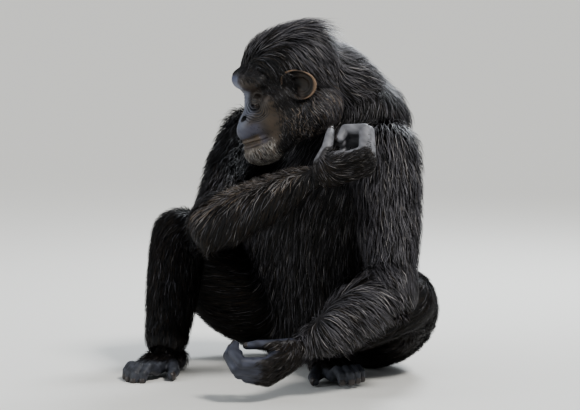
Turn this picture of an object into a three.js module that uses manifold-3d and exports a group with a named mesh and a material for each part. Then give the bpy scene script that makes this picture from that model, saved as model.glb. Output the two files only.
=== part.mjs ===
// A seated adult chimpanzee, life size, in millimetres.
// Origin on the floor under the pelvis, +X to the animal's left, -Y forward, +Z up.
import * as THREE from 'three';
import { mergeVertices } from 'three/addons/utils/BufferGeometryUtils.js';
import Module from 'manifold-3d';

const wasm = await Module();
wasm.setup();

const v = (x, y, z) => new THREE.Vector3(x, y, z);
const mix = (a, b, t) => a + (b - a) * t;
const clamp01 = (t) => Math.min(1, Math.max(0, t));
const smooth = (lo, hi, x) => {
  const t = clamp01((x - lo) / (hi - lo));
  return t * t * (3 - 2 * t);
};
const rad = THREE.MathUtils.degToRad;

// Space kept between touching pieces.
const GAP = 0.35;

// Joints of the skeleton.
const HIP_L = v(85, 0, 105);
const HIP_R = v(-85, 0, 105);
const KNEE_L = v(310, -149, 168);
const KNEE_R = v(-212, -188, 269);
const ANKLE_L = v(146, -192, 58);
const ANKLE_R = v(-157, -309, 62);
const SHOULDER_L = v(243, -145, 446);
const SHOULDER_R = v(-56, -156, 461);
const ELBOW_L = v(341, -265, 204);
const ELBOW_R = v(11, -385, 311);
const WRIST_L = v(236, -438, 90);
const WRIST_R = v(240, -360, 416);
const HEAD = v(119, -258, 587);

// The head faces the animal's right and looks down.
const HEAD_YAW = rad(-45);
const HEAD_PITCH = rad(27);

// Builds a closed solid from vertices and triangles, turned outside out if needed.
function solidFrom(points, faces) {
  const vertProperties = new Float32Array(points.length * 3);
  points.forEach((p, i) => p.toArray(vertProperties, i * 3));
  let volume = 0;
  const cross = v(0, 0, 0);
  for (const [a, b, c] of faces) {
    volume += cross.crossVectors(points[b], points[c]).dot(points[a]);
  }
  const triVerts = new Uint32Array(faces.length * 3);
  faces.forEach(([a, b, c], i) => triVerts.set(volume > 0 ? [a, b, c] : [a, c, b], i * 3));
  return new wasm.Manifold(new wasm.Mesh({ numProp: 3, vertProperties, triVerts }));
}

// A solid from one of the library's closed geometries, moved by a matrix.
function solidOf(geometry, matrix) {
  geometry.deleteAttribute('normal');
  geometry.deleteAttribute('uv');
  const merged = mergeVertices(geometry.applyMatrix4(matrix), 1e-4);
  const position = merged.getAttribute('position');
  const index = merged.getIndex();
  const points = [];
  for (let i = 0; i < position.count; i += 1) {
    points.push(v(0, 0, 0).fromBufferAttribute(position, i));
  }
  const faces = [];
  for (let i = 0; i < index.count; i += 3) {
    const face = [index.getX(i), index.getX(i + 1), index.getX(i + 2)];
    if (new Set(face).size === 3) faces.push(face);
  }
  return solidFrom(points, faces);
}

// Joins rings of equal size and a point at each end into one closed skin.
function skinRings(rings, firstPoint, lastPoint) {
  const sides = rings[0].length;
  const points = [firstPoint, ...rings.flat(), lastPoint];
  const at = (ring, i) => 1 + ring * sides + (i % sides);
  const last = points.length - 1;
  const faces = [];
  for (let i = 0; i < sides; i += 1) {
    faces.push([0, at(0, i + 1), at(0, i)]);
    faces.push([last, at(rings.length - 1, i), at(rings.length - 1, i + 1)]);
    for (let ring = 0; ring < rings.length - 1; ring += 1) {
      faces.push([at(ring, i), at(ring, i + 1), at(ring + 1, i + 1)]);
      faces.push([at(ring, i), at(ring + 1, i + 1), at(ring + 1, i)]);
    }
  }
  return solidFrom(points, faces);
}

// A limb or trunk: oval sections along a smooth line, with a dome at each end.
// A station is [centre, half width, front depth, back depth].
class Loft {
  constructor(stations, side) {
    this.stations = stations;
    this.side = side.clone().normalize();
    this.line = new THREE.CatmullRomCurve3(stations.map((s) => s[0]), false, 'centripetal');
    this.length = stations.length - 1;
  }

  // Centre, axes and half sizes of the section at t, which counts stations.
  section(t) {
    const i = Math.min(Math.floor(Math.max(t, 0)), this.length - 1);
    const f = clamp01(t - i);
    const centre = this.line.getPoint(clamp01(t / this.length));
    const along = this.line.getTangent(clamp01(t / this.length));
    const side = this.side.clone().addScaledVector(along, -this.side.dot(along)).normalize();
    const front = side.clone().cross(along);
    const at = (k) => this.stations[Math.min(Math.max(i + k, 0), this.length)];
    const blend = (n) => {
      const [a, b, c, d] = [at(-1)[n], at(0)[n], at(1)[n], at(2)[n]];
      const slope = (c - a) * f + (2 * a - 5 * b + 4 * c - d) * f * f;
      return b + 0.5 * (slope + (3 * b - a - 3 * c + d) * f * f * f);
    };
    return { centre, along, side, front, wide: blend(1), fore: blend(2), aft: blend(3) };
  }

  // A point of the surface, angle 0 at the side, 90 degrees at the front, moved out.
  point(t, angle, out = 0) {
    const s = this.section(t);
    const depth = Math.sin(angle) > 0 ? s.fore : s.aft;
    const p = s.centre.clone();
    p.addScaledVector(s.side, (s.wide + out) * Math.cos(angle));
    p.addScaledVector(s.front, (depth + out) * Math.sin(angle));
    return p;
  }

  // The closed solid, with its surface moved out by grow.
  solid(grow, sides, steps, domes) {
    const rings = [];
    const ring = (t, shrink, shift) => {
      const s = this.section(t);
      const points = [];
      for (let i = 0; i < sides; i += 1) {
        const angle = (2 * Math.PI * i) / sides;
        const p = this.point(t, angle, grow).sub(s.centre).multiplyScalar(shrink);
        points.push(p.add(s.centre).addScaledVector(s.along, shift));
      }
      return points;
    };
    const bend = [62, 32];
    const low = domes[0] + grow;
    const high = domes[1] + grow;
    for (const turn of bend) {
      rings.push(ring(0, Math.cos(rad(turn)), -low * Math.sin(rad(turn))));
    }
    for (let i = 0; i <= this.length * steps; i += 1) rings.push(ring(i / steps, 1, 0));
    for (const turn of [...bend].reverse()) {
      rings.push(ring(this.length, Math.cos(rad(turn)), high * Math.sin(rad(turn))));
    }
    const first = this.section(0);
    const last = this.section(this.length);
    const tail = first.centre.addScaledVector(first.along, -low);
    const tip = last.centre.addScaledVector(last.along, high);
    return skinRings(rings, tail, tip);
  }
}

// A digit or other thin limb: one closed tube along straight bones, bent at its joints.
function chain(joints, radii, sides = 7) {
  const count = joints.length;
  const ways = [];
  for (let i = 1; i < count; i += 1) ways.push(joints[i].clone().sub(joints[i - 1]).normalize());
  const rings = [];
  let side = Math.abs(ways[0].z) < 0.9 ? v(0, 0, 1) : v(1, 0, 0);
  const ring = (centre, along, radius, stretch) => {
    side.addScaledVector(along, -side.dot(along)).normalize();
    const up = along.clone().cross(side);
    const points = [];
    for (let i = 0; i < sides; i += 1) {
      const angle = (2 * Math.PI * i) / sides;
      const p = side.clone().multiplyScalar(radius * Math.cos(angle));
      p.addScaledVector(up, radius * Math.sin(angle));
      if (stretch) p.addScaledVector(stretch[0], p.dot(stretch[0]) * stretch[1]);
      points.push(p.add(centre));
    }
    rings.push(points);
  };
  const turn = rad(52);
  const end = (centre, way, radius, sign) => {
    const moved = centre.clone().addScaledVector(way, sign * radius * Math.sin(turn));
    ring(moved, way, radius * Math.cos(turn));
  };
  end(joints[0], ways[0], radii[0], -1);
  ring(joints[0], ways[0], radii[0]);
  for (let i = 1; i < count - 1; i += 1) {
    const along = ways[i - 1].clone().add(ways[i]).normalize();
    const across = ways[i].clone().sub(ways[i - 1]);
    const cosine = along.dot(ways[i]);
    const stretch = across.lengthSq() > 1e-6 ? [across.normalize(), 0.7 / cosine - 0.7] : null;
    ring(joints[i], along, radii[i], stretch);
  }
  ring(joints[count - 1], ways[count - 2], radii[count - 1]);
  end(joints[count - 1], ways[count - 2], radii[count - 1], 1);
  const tail = joints[0].clone().addScaledVector(ways[0], -radii[0]);
  const tip = joints[count - 1].clone().addScaledVector(ways[count - 2], radii[count - 1]);
  return skinRings(rings, tail, tip);
}

// An oval ball with its own three axes.
function ball(centre, axes, radii, around = 12, rows = 8) {
  const matrix = new THREE.Matrix4().makeBasis(
    axes[0].clone().multiplyScalar(radii[0]),
    axes[1].clone().multiplyScalar(radii[1]),
    axes[2].clone().multiplyScalar(radii[2]),
  );
  matrix.setPosition(centre);
  return solidOf(new THREE.SphereGeometry(1, around, rows), matrix);
}

const join = (solids) => solids.reduce((sum, piece) => sum.add(piece));

// Repeatable random numbers between -1 and 1.
function seeded(seed) {
  let state = seed;
  return () => {
    state = (state * 16807) % 2147483647;
    return (2 * state) / 2147483647 - 1;
  };
}

const LOCK_CLEARANCE = 1.5;
const LOCK_TURN = 0.03;
const LOCK_ROOT = 4;
// Sections of a lock of long hair, from its sunk root: share of the length, share of the
// coat's depth below the tips, and shares of the full width and thickness.
const LOCK_SECTIONS = [
  [0, 1, 0.7, 1],
  [0.36, 0.24, 1, 0.9],
  [0.74, 0.06, 0.66, 0.6],
];

// One lock: a flat tapered rod with a ridge, bent over a surface given as (u, w, out).
function lock(surface, from, to, size, grow) {
  const at = (share) => [
    mix(from[0], to[0], share),
    mix(from[1], to[1], share * share),
  ];
  const rings = LOCK_SECTIONS.map(([share, sunk, wide, thick]) => {
    const [u, w] = at(share);
    const half = (size.wide * wide) / 2 + LOCK_CLEARANCE * grow;
    const high = (size.thick * thick) / 2 + LOCK_CLEARANCE * grow;
    const centre = surface(u, w, -size.deep * sunk - high);
    const across = surface(u, w + LOCK_TURN, 0).sub(surface(u, w - LOCK_TURN, 0)).normalize();
    const outward = surface(u, w, 5).sub(surface(u, w, -5)).normalize();
    return [
      centre.clone().addScaledVector(across, half).addScaledVector(outward, -high),
      centre.clone().addScaledVector(outward, high),
      centre.clone().addScaledVector(across, -half).addScaledVector(outward, -high),
    ];
  });
  const root = rings[0].reduce((sum, p) => sum.addScaledVector(p, 1 / 3), v(0, 0, 0));
  const way = surface(...at(0.1), 0).sub(surface(...at(0), 0)).normalize();
  root.addScaledVector(way, -LOCK_ROOT - grow);
  const end = surface(...at(1), -1);
  const before = surface(...at(0.9), -1);
  end.addScaledVector(end.clone().sub(before).normalize(), 2 * grow);
  return skinRings(rings, root, end);
}

// Rows of locks over a surface, u along the lie and w across it, with seeded unevenness.
function locks(surface, field, grow) {
  const random = seeded(field.seed);
  const pieces = [];
  for (let row = 0; row < field.rows; row += 1) {
    const u = mix(field.u[0], field.u[1], field.rows > 1 ? row / (field.rows - 1) : 0);
    for (let column = 0; column < field.columns; column += 1) {
      const shift = row % 2 === 0 ? 0.25 : -0.25;
      const w = mix(field.w[0], field.w[1], (column + 0.5 + shift) / field.columns);
      const uneven = [random(), random(), random(), random()];
      const spacing = (field.w[1] - field.w[0]) / field.columns;
      const from = [u + 0.16 * field.run * uneven[0], w + 0.2 * spacing * uneven[1]];
      const to = [
        from[0] + field.run * (1 + 0.15 * uneven[2]),
        from[1] + field.slant + 0.35 * spacing * uneven[3],
      ];
      const size = { wide: field.wide, thick: field.thick, deep: field.deep };
      pieces.push(lock(surface, from, to, size, grow));
    }
  }
  return pieces;
}

// Trunk, from the seat to the hump behind the neck.
const torso = new Loft([
  [v(0, 18, 50), 158, 118, 122],
  [v(4, 2, 115), 170, 124, 130],
  [v(18, -30, 200), 166, 124, 134],
  [v(42, -72, 290), 168, 124, 138],
  [v(76, -106, 380), 176, 116, 138],
  [v(112, -112, 460), 172, 104, 128],
  [v(142, -104, 530), 134, 96, 116],
], v(1, 0.04, -0.05));

const neck = new Loft([
  [v(142, -104, 540), 94, 84, 86],
  [v(133, -160, 586), 82, 78, 80],
  [v(123, -216, 604), 70, 66, 70],
], v(1, 0, 0));

const between = (a, b, t) => a.clone().lerp(b, t);

const upperArmL = new Loft([
  [SHOULDER_L, 78, 76, 72],
  [between(SHOULDER_L, ELBOW_L, 0.33), 76, 74, 70],
  [between(SHOULDER_L, ELBOW_L, 0.67), 65, 66, 62],
  [ELBOW_L, 50, 52, 52],
], v(1, 0.3, 0.2));

const upperArmR = new Loft([
  [SHOULDER_R, 72, 74, 72],
  [between(SHOULDER_R, ELBOW_R, 0.33), 72, 68, 66],
  [between(SHOULDER_R, ELBOW_R, 0.67), 63, 60, 58],
  [ELBOW_R, 50, 50, 50],
], v(1, 0.2, 0));

const forearmL = new Loft([
  [ELBOW_L, 50, 50, 52],
  [between(ELBOW_L, WRIST_L, 0.33), 56, 52, 58],
  [between(ELBOW_L, WRIST_L, 0.67), 46, 44, 48],
  [WRIST_L, 31, 27, 31],
], v(0.6, 0.1, 0.8));

const forearmR = new Loft([
  [ELBOW_R, 50, 48, 50],
  [between(ELBOW_R, WRIST_R, 0.33), 50, 44, 46],
  [between(ELBOW_R, WRIST_R, 0.67), 40, 36, 38],
  [WRIST_R, 28, 26, 28],
], v(0, 0.3, 1));

const thighL = new Loft([
  [HIP_L, 108, 104, 92],
  [between(HIP_L, KNEE_L, 0.33).add(v(0, 10, -16)), 110, 106, 104],
  [between(HIP_L, KNEE_L, 0.67).add(v(2, 12, -16)), 98, 92, 96],
  [KNEE_L, 56, 54, 56],
], v(0, 0.5, 1));

const thighR = new Loft([
  [HIP_R, 104, 96, 96],
  [between(HIP_R, KNEE_R, 0.33).add(v(0, 0, -30)), 108, 100, 104],
  [between(HIP_R, KNEE_R, 0.67).add(v(0, 0, -30)), 92, 88, 88],
  [KNEE_R, 62, 60, 58],
], v(1, -0.5, 0.4));

const shinL = new Loft([
  [KNEE_L, 54, 52, 54],
  [between(KNEE_L, ANKLE_L, 0.33), 58, 50, 54],
  [between(KNEE_L, ANKLE_L, 0.67), 45, 38, 42],
  [ANKLE_L, 31, 28, 30],
], v(0, 1, 0));

const shinR = new Loft([
  [KNEE_R, 62, 58, 56],
  [between(KNEE_R, ANKLE_R, 0.33), 60, 54, 62],
  [between(KNEE_R, ANKLE_R, 0.67), 57, 48, 54],
  [ANKLE_R, 50, 38, 44],
], v(1, 0, 0));

// Head axes: forward, to the animal's left, up.
const FACE = v(
  Math.sin(HEAD_YAW) * Math.cos(HEAD_PITCH),
  -Math.cos(HEAD_YAW) * Math.cos(HEAD_PITCH),
  -Math.sin(HEAD_PITCH),
);
const LEFT = v(Math.cos(HEAD_YAW), Math.sin(HEAD_YAW), 0);
const CROWN = FACE.clone().cross(LEFT);
const HEAD_AXES = [FACE, LEFT, CROWN];
const onHead = (forward, left, up) => HEAD.clone()
  .addScaledVector(FACE, forward)
  .addScaledVector(LEFT, left)
  .addScaledVector(CROWN, up);

// Distance to an oval ball and to a tapered rod, in head coordinates, near enough for a skin.
const oval = (p, c, r) => {
  const q = v((p.x - c[0]) / r[0], (p.y - c[1]) / r[1], (p.z - c[2]) / r[2]);
  const g = v(q.x / r[0], q.y / r[1], q.z / r[2]);
  const k = q.length();
  return (k * (k - 1)) / Math.max(g.length(), 1e-6);
};
const bar = (p, a, b, ra, rb) => {
  const from = v(...a);
  const step = v(...b).sub(from);
  const t = clamp01(p.clone().sub(from).dot(step) / step.lengthSq());
  return p.distanceTo(from.addScaledVector(step, t)) - mix(ra, rb, t);
};
const blendMin = (a, b, k) => {
  const h = clamp01(0.5 + (0.5 * (b - a)) / k);
  return mix(b, a, h) - k * h * (1 - h);
};

// How far the hair of the head stands off the skin: crown and nape, then cheeks and throat.
// How much of the coat's depth lies over the head's core, the locks reach on to its tips.
const CORE_SHARE = 0.45;
const CROWN_COAT = 18;
const CHEEK_COAT = 9;
function headCoat(q) {
  const crown = smooth(8, 58, 0.8 * q.z - 0.6 * q.x + 20);
  const cheek = smooth(58, 22, q.x) * smooth(4, -32, q.z);
  return Math.max(CROWN_COAT * crown, CHEEK_COAT * cheek);
}

// The head as blended forms, half of it: x forward, y out from the middle, z up.
function headField(p, coat) {
  const q = v(p.x, Math.abs(p.y), p.z);
  let d = oval(q, [20, 0, 36], [79, 60, 62]);
  d = blendMin(d, oval(q, [-24, 0, 26], [54, 58, 66]), 16);
  d = blendMin(d, oval(q, [58, 40, -10], [32, 23, 20]), 20);
  d = blendMin(d, bar(q, [104, 20, -92], [12, 42, -62], 22, 30), 20);
  d = blendMin(d, bar(q, [56, 0, -72], [-6, 0, -60], 34, 50), 20);
  d = blendMin(d, oval(q, [54, 26, -44], [52, 32, 46]), 18);
  d = blendMin(d, oval(q, [98, 0, -44], [54, 38, 34]), 16);
  d = blendMin(d, oval(q, [114, 0, -86], [42, 35, 31]), 8);
  d = blendMin(d, bar(q, [86, 0, 28], [107, 0, -12], 15, 15), 12);
  d = blendMin(d, oval(q, [112, 0, -20], [17, 20, 11]), 8);
  d = blendMin(d, oval(q, [87, 25, 1], [17, 19, 15]), 6);
  d = blendMin(d, bar(q, [97, 0, 46], [94, 30, 47], 14, 14), 12);
  d = blendMin(d, bar(q, [94, 30, 47], [74, 54, 34], 14, 11), 12);
  return d - coat * headCoat(q);
}

// The head's skin is read along rays from this point, in rows around the upright axis.
const HEAD_SEED = v(30, 0, -8);
const HEAD_COLUMNS = 34;
const FRONT_CROWDING = 0.42;
const HEAD_ROWS = [76, 60, 47, 38, 32, 27, 22, 17, 11, 5, -1, -7, -13, -19, -25, -31, -38, -46, -56, -70];

// The point of the head along a way from the seed, out from a share of the coat.
function headAlong(way, out, coat) {
  const outside = (reach) => headField(HEAD_SEED.clone().addScaledVector(way, reach), coat) > out;
  let reach = 220;
  while (reach > 12 && outside(reach - 3)) reach -= 3;
  let step = 1.5;
  for (let i = 0; i < 8; i += 1) {
    reach -= outside(reach - step) ? step : 0;
    step /= 2;
  }
  const p = HEAD_SEED.clone().addScaledVector(way, reach);
  return onHead(p.x, p.y, p.z);
}

// Column 0 looks forward, rise is the angle above level.
function headPoint(column, rise, out) {
  const even = (2 * Math.PI * column) / HEAD_COLUMNS;
  const around = even - FRONT_CROWDING * Math.sin(even);
  const way = v(
    Math.cos(rise) * Math.cos(around),
    Math.cos(rise) * Math.sin(around),
    Math.sin(rise),
  );
  return headAlong(way, out, CORE_SHARE);
}

// The coat's tips over the crown: over is the angle from the face up and back, aside to the left.
function crownPoint(over, aside, out) {
  const way = v(
    Math.cos(over) * Math.cos(aside),
    Math.sin(aside),
    Math.sin(over) * Math.cos(aside),
  );
  return headAlong(way, out, 1);
}

const EYE_RADIUS = 11;
const EYE_AT = [89, 25, 1];
const EYE_DOWN = rad(20);
const NOSTRIL_AT = [125, 9, -22];

function eyeCentre(way) {
  return onHead(EYE_AT[0], EYE_AT[1] * way, EYE_AT[2]);
}

function eye(way, grow) {
  return ball(eyeCentre(way), HEAD_AXES, Array(3).fill(EYE_RADIUS + grow), 12, 8);
}

// Axes of an eye that looks down.
function gazeAxes() {
  const gaze = FACE.clone().multiplyScalar(Math.cos(EYE_DOWN));
  gaze.addScaledVector(CROWN, -Math.sin(EYE_DOWN));
  return [gaze, LEFT, gaze.clone().cross(LEFT)];
}

function head(grow) {
  const rings = HEAD_ROWS.map((rise) => {
    const ring = [];
    for (let i = 0; i < HEAD_COLUMNS; i += 1) ring.push(headPoint(i, rad(rise), grow));
    return ring;
  });
  let solid = skinRings(rings, headPoint(0, rad(90), grow), headPoint(0, rad(-90), grow));
  if (grow > 0) return solid;
  for (const way of [1, -1]) {
    const centre = eyeCentre(way);
    const gaze = gazeAxes();
    solid = solid.subtract(eye(way, GAP));
    const slit = centre.clone().addScaledVector(gaze[0], 12);
    solid = solid.subtract(ball(slit, gaze, [11, 12, 3.6], 12, 6));
    const nostril = onHead(NOSTRIL_AT[0], NOSTRIL_AT[1] * way, NOSTRIL_AT[2]);
    solid = solid.subtract(ball(nostril, HEAD_AXES, [9, 5, 5], 8, 6));
  }
  return solid.add(lips()).subtract(mouthCut());
}

const CROWN_LOCKS = {
  seed: 11, rows: 4, columns: 4, u: [rad(54), rad(138)], w: [rad(-58), rad(58)],
  run: rad(42), slant: 0, wide: 44, thick: 9, deep: 17,
};
const CHEEK_LOCKS = {
  seed: 12, rows: 1, columns: 1, u: [rad(-112), rad(-112)], w: [rad(40), rad(62)],
  run: rad(-36), slant: 0, wide: 40, thick: 8, deep: 10,
};
// The tuft at the back of the crown, which runs straight on where the head falls away.
const CREST_LIFT = 40;
const CREST_LOCKS = {
  seed: 18, rows: 1, columns: 2, u: [rad(108), rad(108)], w: [rad(-20), rad(20)],
  run: rad(38), slant: 0, wide: 56, thick: 14, deep: 17,
};
function crestPoint(over, aside, out) {
  const share = Math.min(Math.max((over - rad(118)) / rad(32), 0), 1);
  return crownPoint(over, aside, out + CREST_LIFT * share * share);
}
const headLocks = (grow) => [
  ...locks(crownPoint, CROWN_LOCKS, grow),
  ...locks(crestPoint, CREST_LOCKS, grow),
  ...locks(crownPoint, CHEEK_LOCKS, grow),
  ...locks((over, aside, out) => crownPoint(over, -aside, out), CHEEK_LOCKS, grow),
];

// The line between the lips, in head coordinates, from the right corner to the left one.
const MOUTH_HALF = 36;
const MOUTH_FRONT = 149;
const MOUTH_HEIGHT = -65;
function mouthPoint(t, out, lift) {
  const turn = t * 1.25;
  const forward = MOUTH_FRONT - 46 * (1 - Math.cos(turn)) + out * Math.cos(turn);
  const left = MOUTH_HALF * Math.sin((t * Math.PI) / 2) + out * Math.sin(turn);
  return onHead(forward, left, MOUTH_HEIGHT - 4 * t * t + lift);
}

function mouthCut() {
  const count = 10;
  const half = 1.1;
  const rings = [];
  for (let i = 0; i <= count; i += 1) {
    const t = mix(-1, 1, i / count);
    rings.push([
      mouthPoint(t, 9, -half),
      mouthPoint(t, 9, half),
      mouthPoint(t, -7, half),
      mouthPoint(t, -7, -half),
    ]);
  }
  return skinRings(rings, mouthPoint(-1.02, 0, 0), mouthPoint(1.02, 0, 0));
}

// Upper and lower lip, each a roll along the mouth.
function lips() {
  const rolls = [];
  for (const [lift, radius] of [[3.8, 4.4], [-3.8, 4.2]]) {
    const rings = [];
    const count = 8;
    for (let i = 0; i <= count; i += 1) {
      const t = mix(-0.9, 0.9, i / count);
      const slim = radius * (1 - 0.5 * t * t);
      const ring = [];
      for (let k = 0; k < 5; k += 1) {
        const angle = (2 * Math.PI * k) / 5;
        const rise = lift * (1 - 0.5 * t * t) + slim * Math.sin(angle);
        ring.push(mouthPoint(t, slim * (Math.cos(angle) - 0.9), rise));
      }
      rings.push(ring);
    }
    rolls.push(skinRings(rings, mouthPoint(-0.96, -3, lift * 0.5), mouthPoint(0.96, -3, lift * 0.5)));
  }
  return join(rolls);
}

// An ear: a thin leaf hollowed to a cup, with the inner ridge and the flap before the hole.
const EAR_AT = [14, 70, -1];
const EAR_LEAN = rad(30);
function ear(way, grow) {
  const back = FACE.clone().multiplyScalar(-Math.cos(EAR_LEAN));
  back.addScaledVector(LEFT, way * Math.sin(EAR_LEAN));
  const up = CROWN.clone().addScaledVector(FACE, 0.12).normalize();
  back.addScaledVector(up, -back.dot(up)).normalize();
  const open = back.clone().cross(up).multiplyScalar(way);
  const axes = [back, up, open];
  const place = (b, u, o) => onHead(EAR_AT[0], EAR_AT[1] * way, EAR_AT[2])
    .addScaledVector(back, b)
    .addScaledVector(up, u)
    .addScaledVector(open, o);
  let solid = ball(place(0, 0, 0), axes, [34 + grow, 34 + grow, 9 + grow], 16, 8);
  if (grow > 0) return solid;
  solid = solid.subtract(ball(place(-1, 1, 8), axes, [29.5, 29.5, 11.5], 16, 8));
  const ridge = [];
  for (let i = 0; i < 5; i += 1) {
    const angle = rad(62 - 42 * i);
    ridge.push(place(16 * Math.cos(angle) - 2, 19 * Math.sin(angle), -2.5));
  }
  const flap = ball(place(-22, -5, -3), axes, [13, 10, 7], 8, 6);
  return join([solid, chain(ridge, [3, 3.4, 3.4, 3.4, 3], 5), flap]);
}

// A hand: palm, four digits that flex towards the palm, and the thumb.
const FINGERS = [
  { spread: 26, knuckle: 80, bones: [44, 31, 18], radii: [17, 12.5, 11.5, 10.5, 9] },
  { spread: 9, knuckle: 84, bones: [50, 36, 20], radii: [17, 13, 12, 11, 9.5] },
  { spread: -8, knuckle: 80, bones: [47, 34, 20], radii: [17, 12.5, 11.5, 10.5, 9] },
  { spread: -25, knuckle: 73, bones: [38, 26, 18], radii: [16, 11.5, 10.5, 9.5, 8] },
];
function hand(spec, grow) {
  const along = spec.along.clone().normalize();
  const radial = spec.radial.clone().addScaledVector(along, -spec.radial.dot(along)).normalize();
  const palm = along.clone().cross(radial).multiplyScalar(spec.way);
  const at = (a, r, p) => spec.wrist.clone()
    .addScaledVector(along, a)
    .addScaledVector(radial, r)
    .addScaledVector(palm, p);
  const pieces = FINGERS.map((finger, digit) => {
    const knuckle = at(finger.knuckle * spec.palmReach, finger.spread, -3);
    const joints = [at(4, finger.spread * 0.5, 0), knuckle];
    let flex = 0;
    finger.bones.forEach((bare, bone) => {
      const length = bare * spec.reach;
      flex += rad(spec.flex[bone] + spec.fan * (digit - 1.5));
      const next = joints[joints.length - 1].clone();
      next.addScaledVector(along, length * Math.cos(flex));
      joints.push(next.addScaledVector(palm, length * Math.sin(flex)));
    });
    return chain(joints, finger.radii.map((r) => r + grow));
  });
  const thumb = spec.thumb.map(([a, r, p]) => at(a, r, p));
  pieces.push(chain(thumb, [16, 11.5, 9.5, 7.5].map((r) => r + grow)));
  return join(pieces);
}

const HAND_L = {
  wrist: WRIST_L,
  along: v(-0.31, -0.87, -0.38),
  radial: v(0.368, -0.568, 0.731),
  way: 1,
  flex: [44, 66, 44],
  fan: 3,
  palmReach: 1,
  reach: 1,
  thumb: [[10, 18, 6], [42, 30, 20], [62, 28, 40], [76, 22, 54]],
};

const HAND_R = {
  wrist: WRIST_R,
  along: v(0.86, 0.43, 0.31),
  radial: v(0.368, -0.568, 0.731),
  way: -1,
  flex: [84, 80, 80],
  fan: 2,
  palmReach: 1.16,
  reach: 1.25,
  thumb: [[8, 20, 8], [26, 28, 34], [34, 28, 60], [38, 24, 78]],
};

// A foot: heel, sole, four curled toes and the big toe that stands off.
const TOES = [
  { spread: 24, reach: 84, bones: [28, 20, 13] },
  { spread: 8, reach: 88, bones: [30, 21, 13] },
  { spread: -8, reach: 84, bones: [28, 19, 12] },
  { spread: -24, reach: 75, bones: [24, 16, 11] },
];
function foot(spec, grow) {
  const along = spec.along.clone().normalize();
  const inner = along.clone().cross(v(0, 0, spec.way));
  const at = (a, i, z) => spec.ankle.clone()
    .addScaledVector(along, a)
    .addScaledVector(inner, i)
    .setZ(z);
  const pieces = [
    chain([at(-34, 0, 22), at(14, 2, 34)], [25 + grow, 27 + grow], 8),
    chain([at(0, 0, 36), spec.ankle], [28 + grow, 31 + grow], 8),
  ];
  for (const toe of TOES) {
    const joints = [at(6, toe.spread * 0.5, 30), at(toe.reach, toe.spread, 19)];
    let rise = rad(spec.lift);
    toe.bones.forEach((length) => {
      const next = joints[joints.length - 1].clone().addScaledVector(along, length * Math.cos(rise));
      next.z += length * Math.sin(rise);
      joints.push(next);
      rise -= rad(spec.curl);
    });
    pieces.push(chain(joints, [19, 13, 10.5, 9.5, 8].map((r) => r + grow)));
  }
  const big = [at(14, 12, 24), at(46, 40, 18), at(68, 56, 15), at(88, 62, 11)];
  pieces.push(chain(big, [18, 14.5, 12, 9.5].map((r) => r + grow)));
  return join(pieces);
}

const FOOT_L = { ankle: ANKLE_L, along: v(100, -70, 0), way: 1, lift: 30, curl: 50 };
const FOOT_R = { ankle: ANKLE_R, along: v(10, -100, 0), way: -1, lift: 16, curl: 44 };

// Half of space, on the side of a plane that its normal leaves.
const SPACE = 3000;
function behind(point, normal) {
  const turn = new THREE.Quaternion().setFromUnitVectors(v(0, 0, 1), normal.clone().normalize());
  const matrix = new THREE.Matrix4().makeRotationFromQuaternion(turn);
  const middle = point.clone().addScaledVector(normal.clone().normalize(), GAP / 2 - SPACE / 2);
  matrix.setPosition(middle);
  return solidOf(new THREE.BoxGeometry(SPACE, SPACE, SPACE), matrix);
}

// The plane that halves the bend at a joint, facing the first bone.
function mitre(joint, first, second) {
  const a = first.clone().sub(joint).normalize();
  return [joint, a.sub(second.clone().sub(joint).normalize()).normalize()];
}
const flip = ([point, normal]) => [point, normal.clone().negate()];

const elbowL = mitre(ELBOW_L, SHOULDER_L, WRIST_L);
const elbowR = mitre(ELBOW_R, SHOULDER_R, WRIST_R);
const wristL = [WRIST_L, ELBOW_L.clone().sub(WRIST_L)];
const wristR = [WRIST_R, ELBOW_R.clone().sub(WRIST_R)];
const kneeL = mitre(KNEE_L, HIP_L, ANKLE_L);
const kneeR = mitre(KNEE_R, HIP_R, ANKLE_R);

const limb = (loft, domes, sides = 16, steps = 2) => (grow) => loft.solid(grow, sides, steps, domes);

// A limb under long hair: its core stays half the coat's depth below the tips.
const core = (loft, domes, coat, sides, steps) => (grow) => (
  loft.solid(grow - coat / 2, sides, steps, domes)
);
const BACK_COAT = 28;
const ARM_COAT = 28;
const FOREARM_COAT = 22;
const NECK_COAT = 24;
const FIELDS = {
  torso: [torso, {
    seed: 1, rows: 5, columns: 6, u: [6.3, 1.5], w: [rad(170), rad(370)],
    run: -1.5, slant: 0, wide: 84, thick: 13, deep: 24,
  }],
  neck: [neck, {
    seed: 2, rows: 2, columns: 3, u: [1.9, 1], w: [rad(170), rad(370)],
    run: -1, slant: 0, wide: 52, thick: 11, deep: 20,
  }],
  upper_arm_left: [upperArmL, {
    seed: 13, rows: 3, columns: 4, u: [-0.2, 2.1], w: [rad(-150), rad(150)],
    run: 1.2, slant: rad(-8), wide: 62, thick: 12, deep: 24,
  }],
  upper_arm_right: [upperArmR, {
    seed: 14, rows: 3, columns: 5, u: [-0.2, 2.1], w: [rad(30), rad(330)],
    run: 1.2, slant: rad(8), wide: 60, thick: 12, deep: 24,
  }],
  forearm_left: [forearmL, {
    seed: 15, rows: 3, columns: 4, u: [2.9, 0.9], w: [rad(0), rad(360)],
    run: -1.2, slant: rad(10), wide: 52, thick: 10, deep: 18,
  }],
  forearm_right: [forearmR, {
    seed: 16, rows: 3, columns: 4, u: [2.9, 0.9], w: [rad(0), rad(360)],
    run: -1.2, slant: rad(-10), wide: 50, thick: 10, deep: 18,
  }],
};
const coatOf = (name) => {
  if (name === 'head') return headLocks;
  if (!FIELDS[name]) return null;
  const [loft, field] = FIELDS[name];
  return (grow) => locks((t, angle, out) => loft.point(t, angle, out), field, grow);
};

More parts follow.
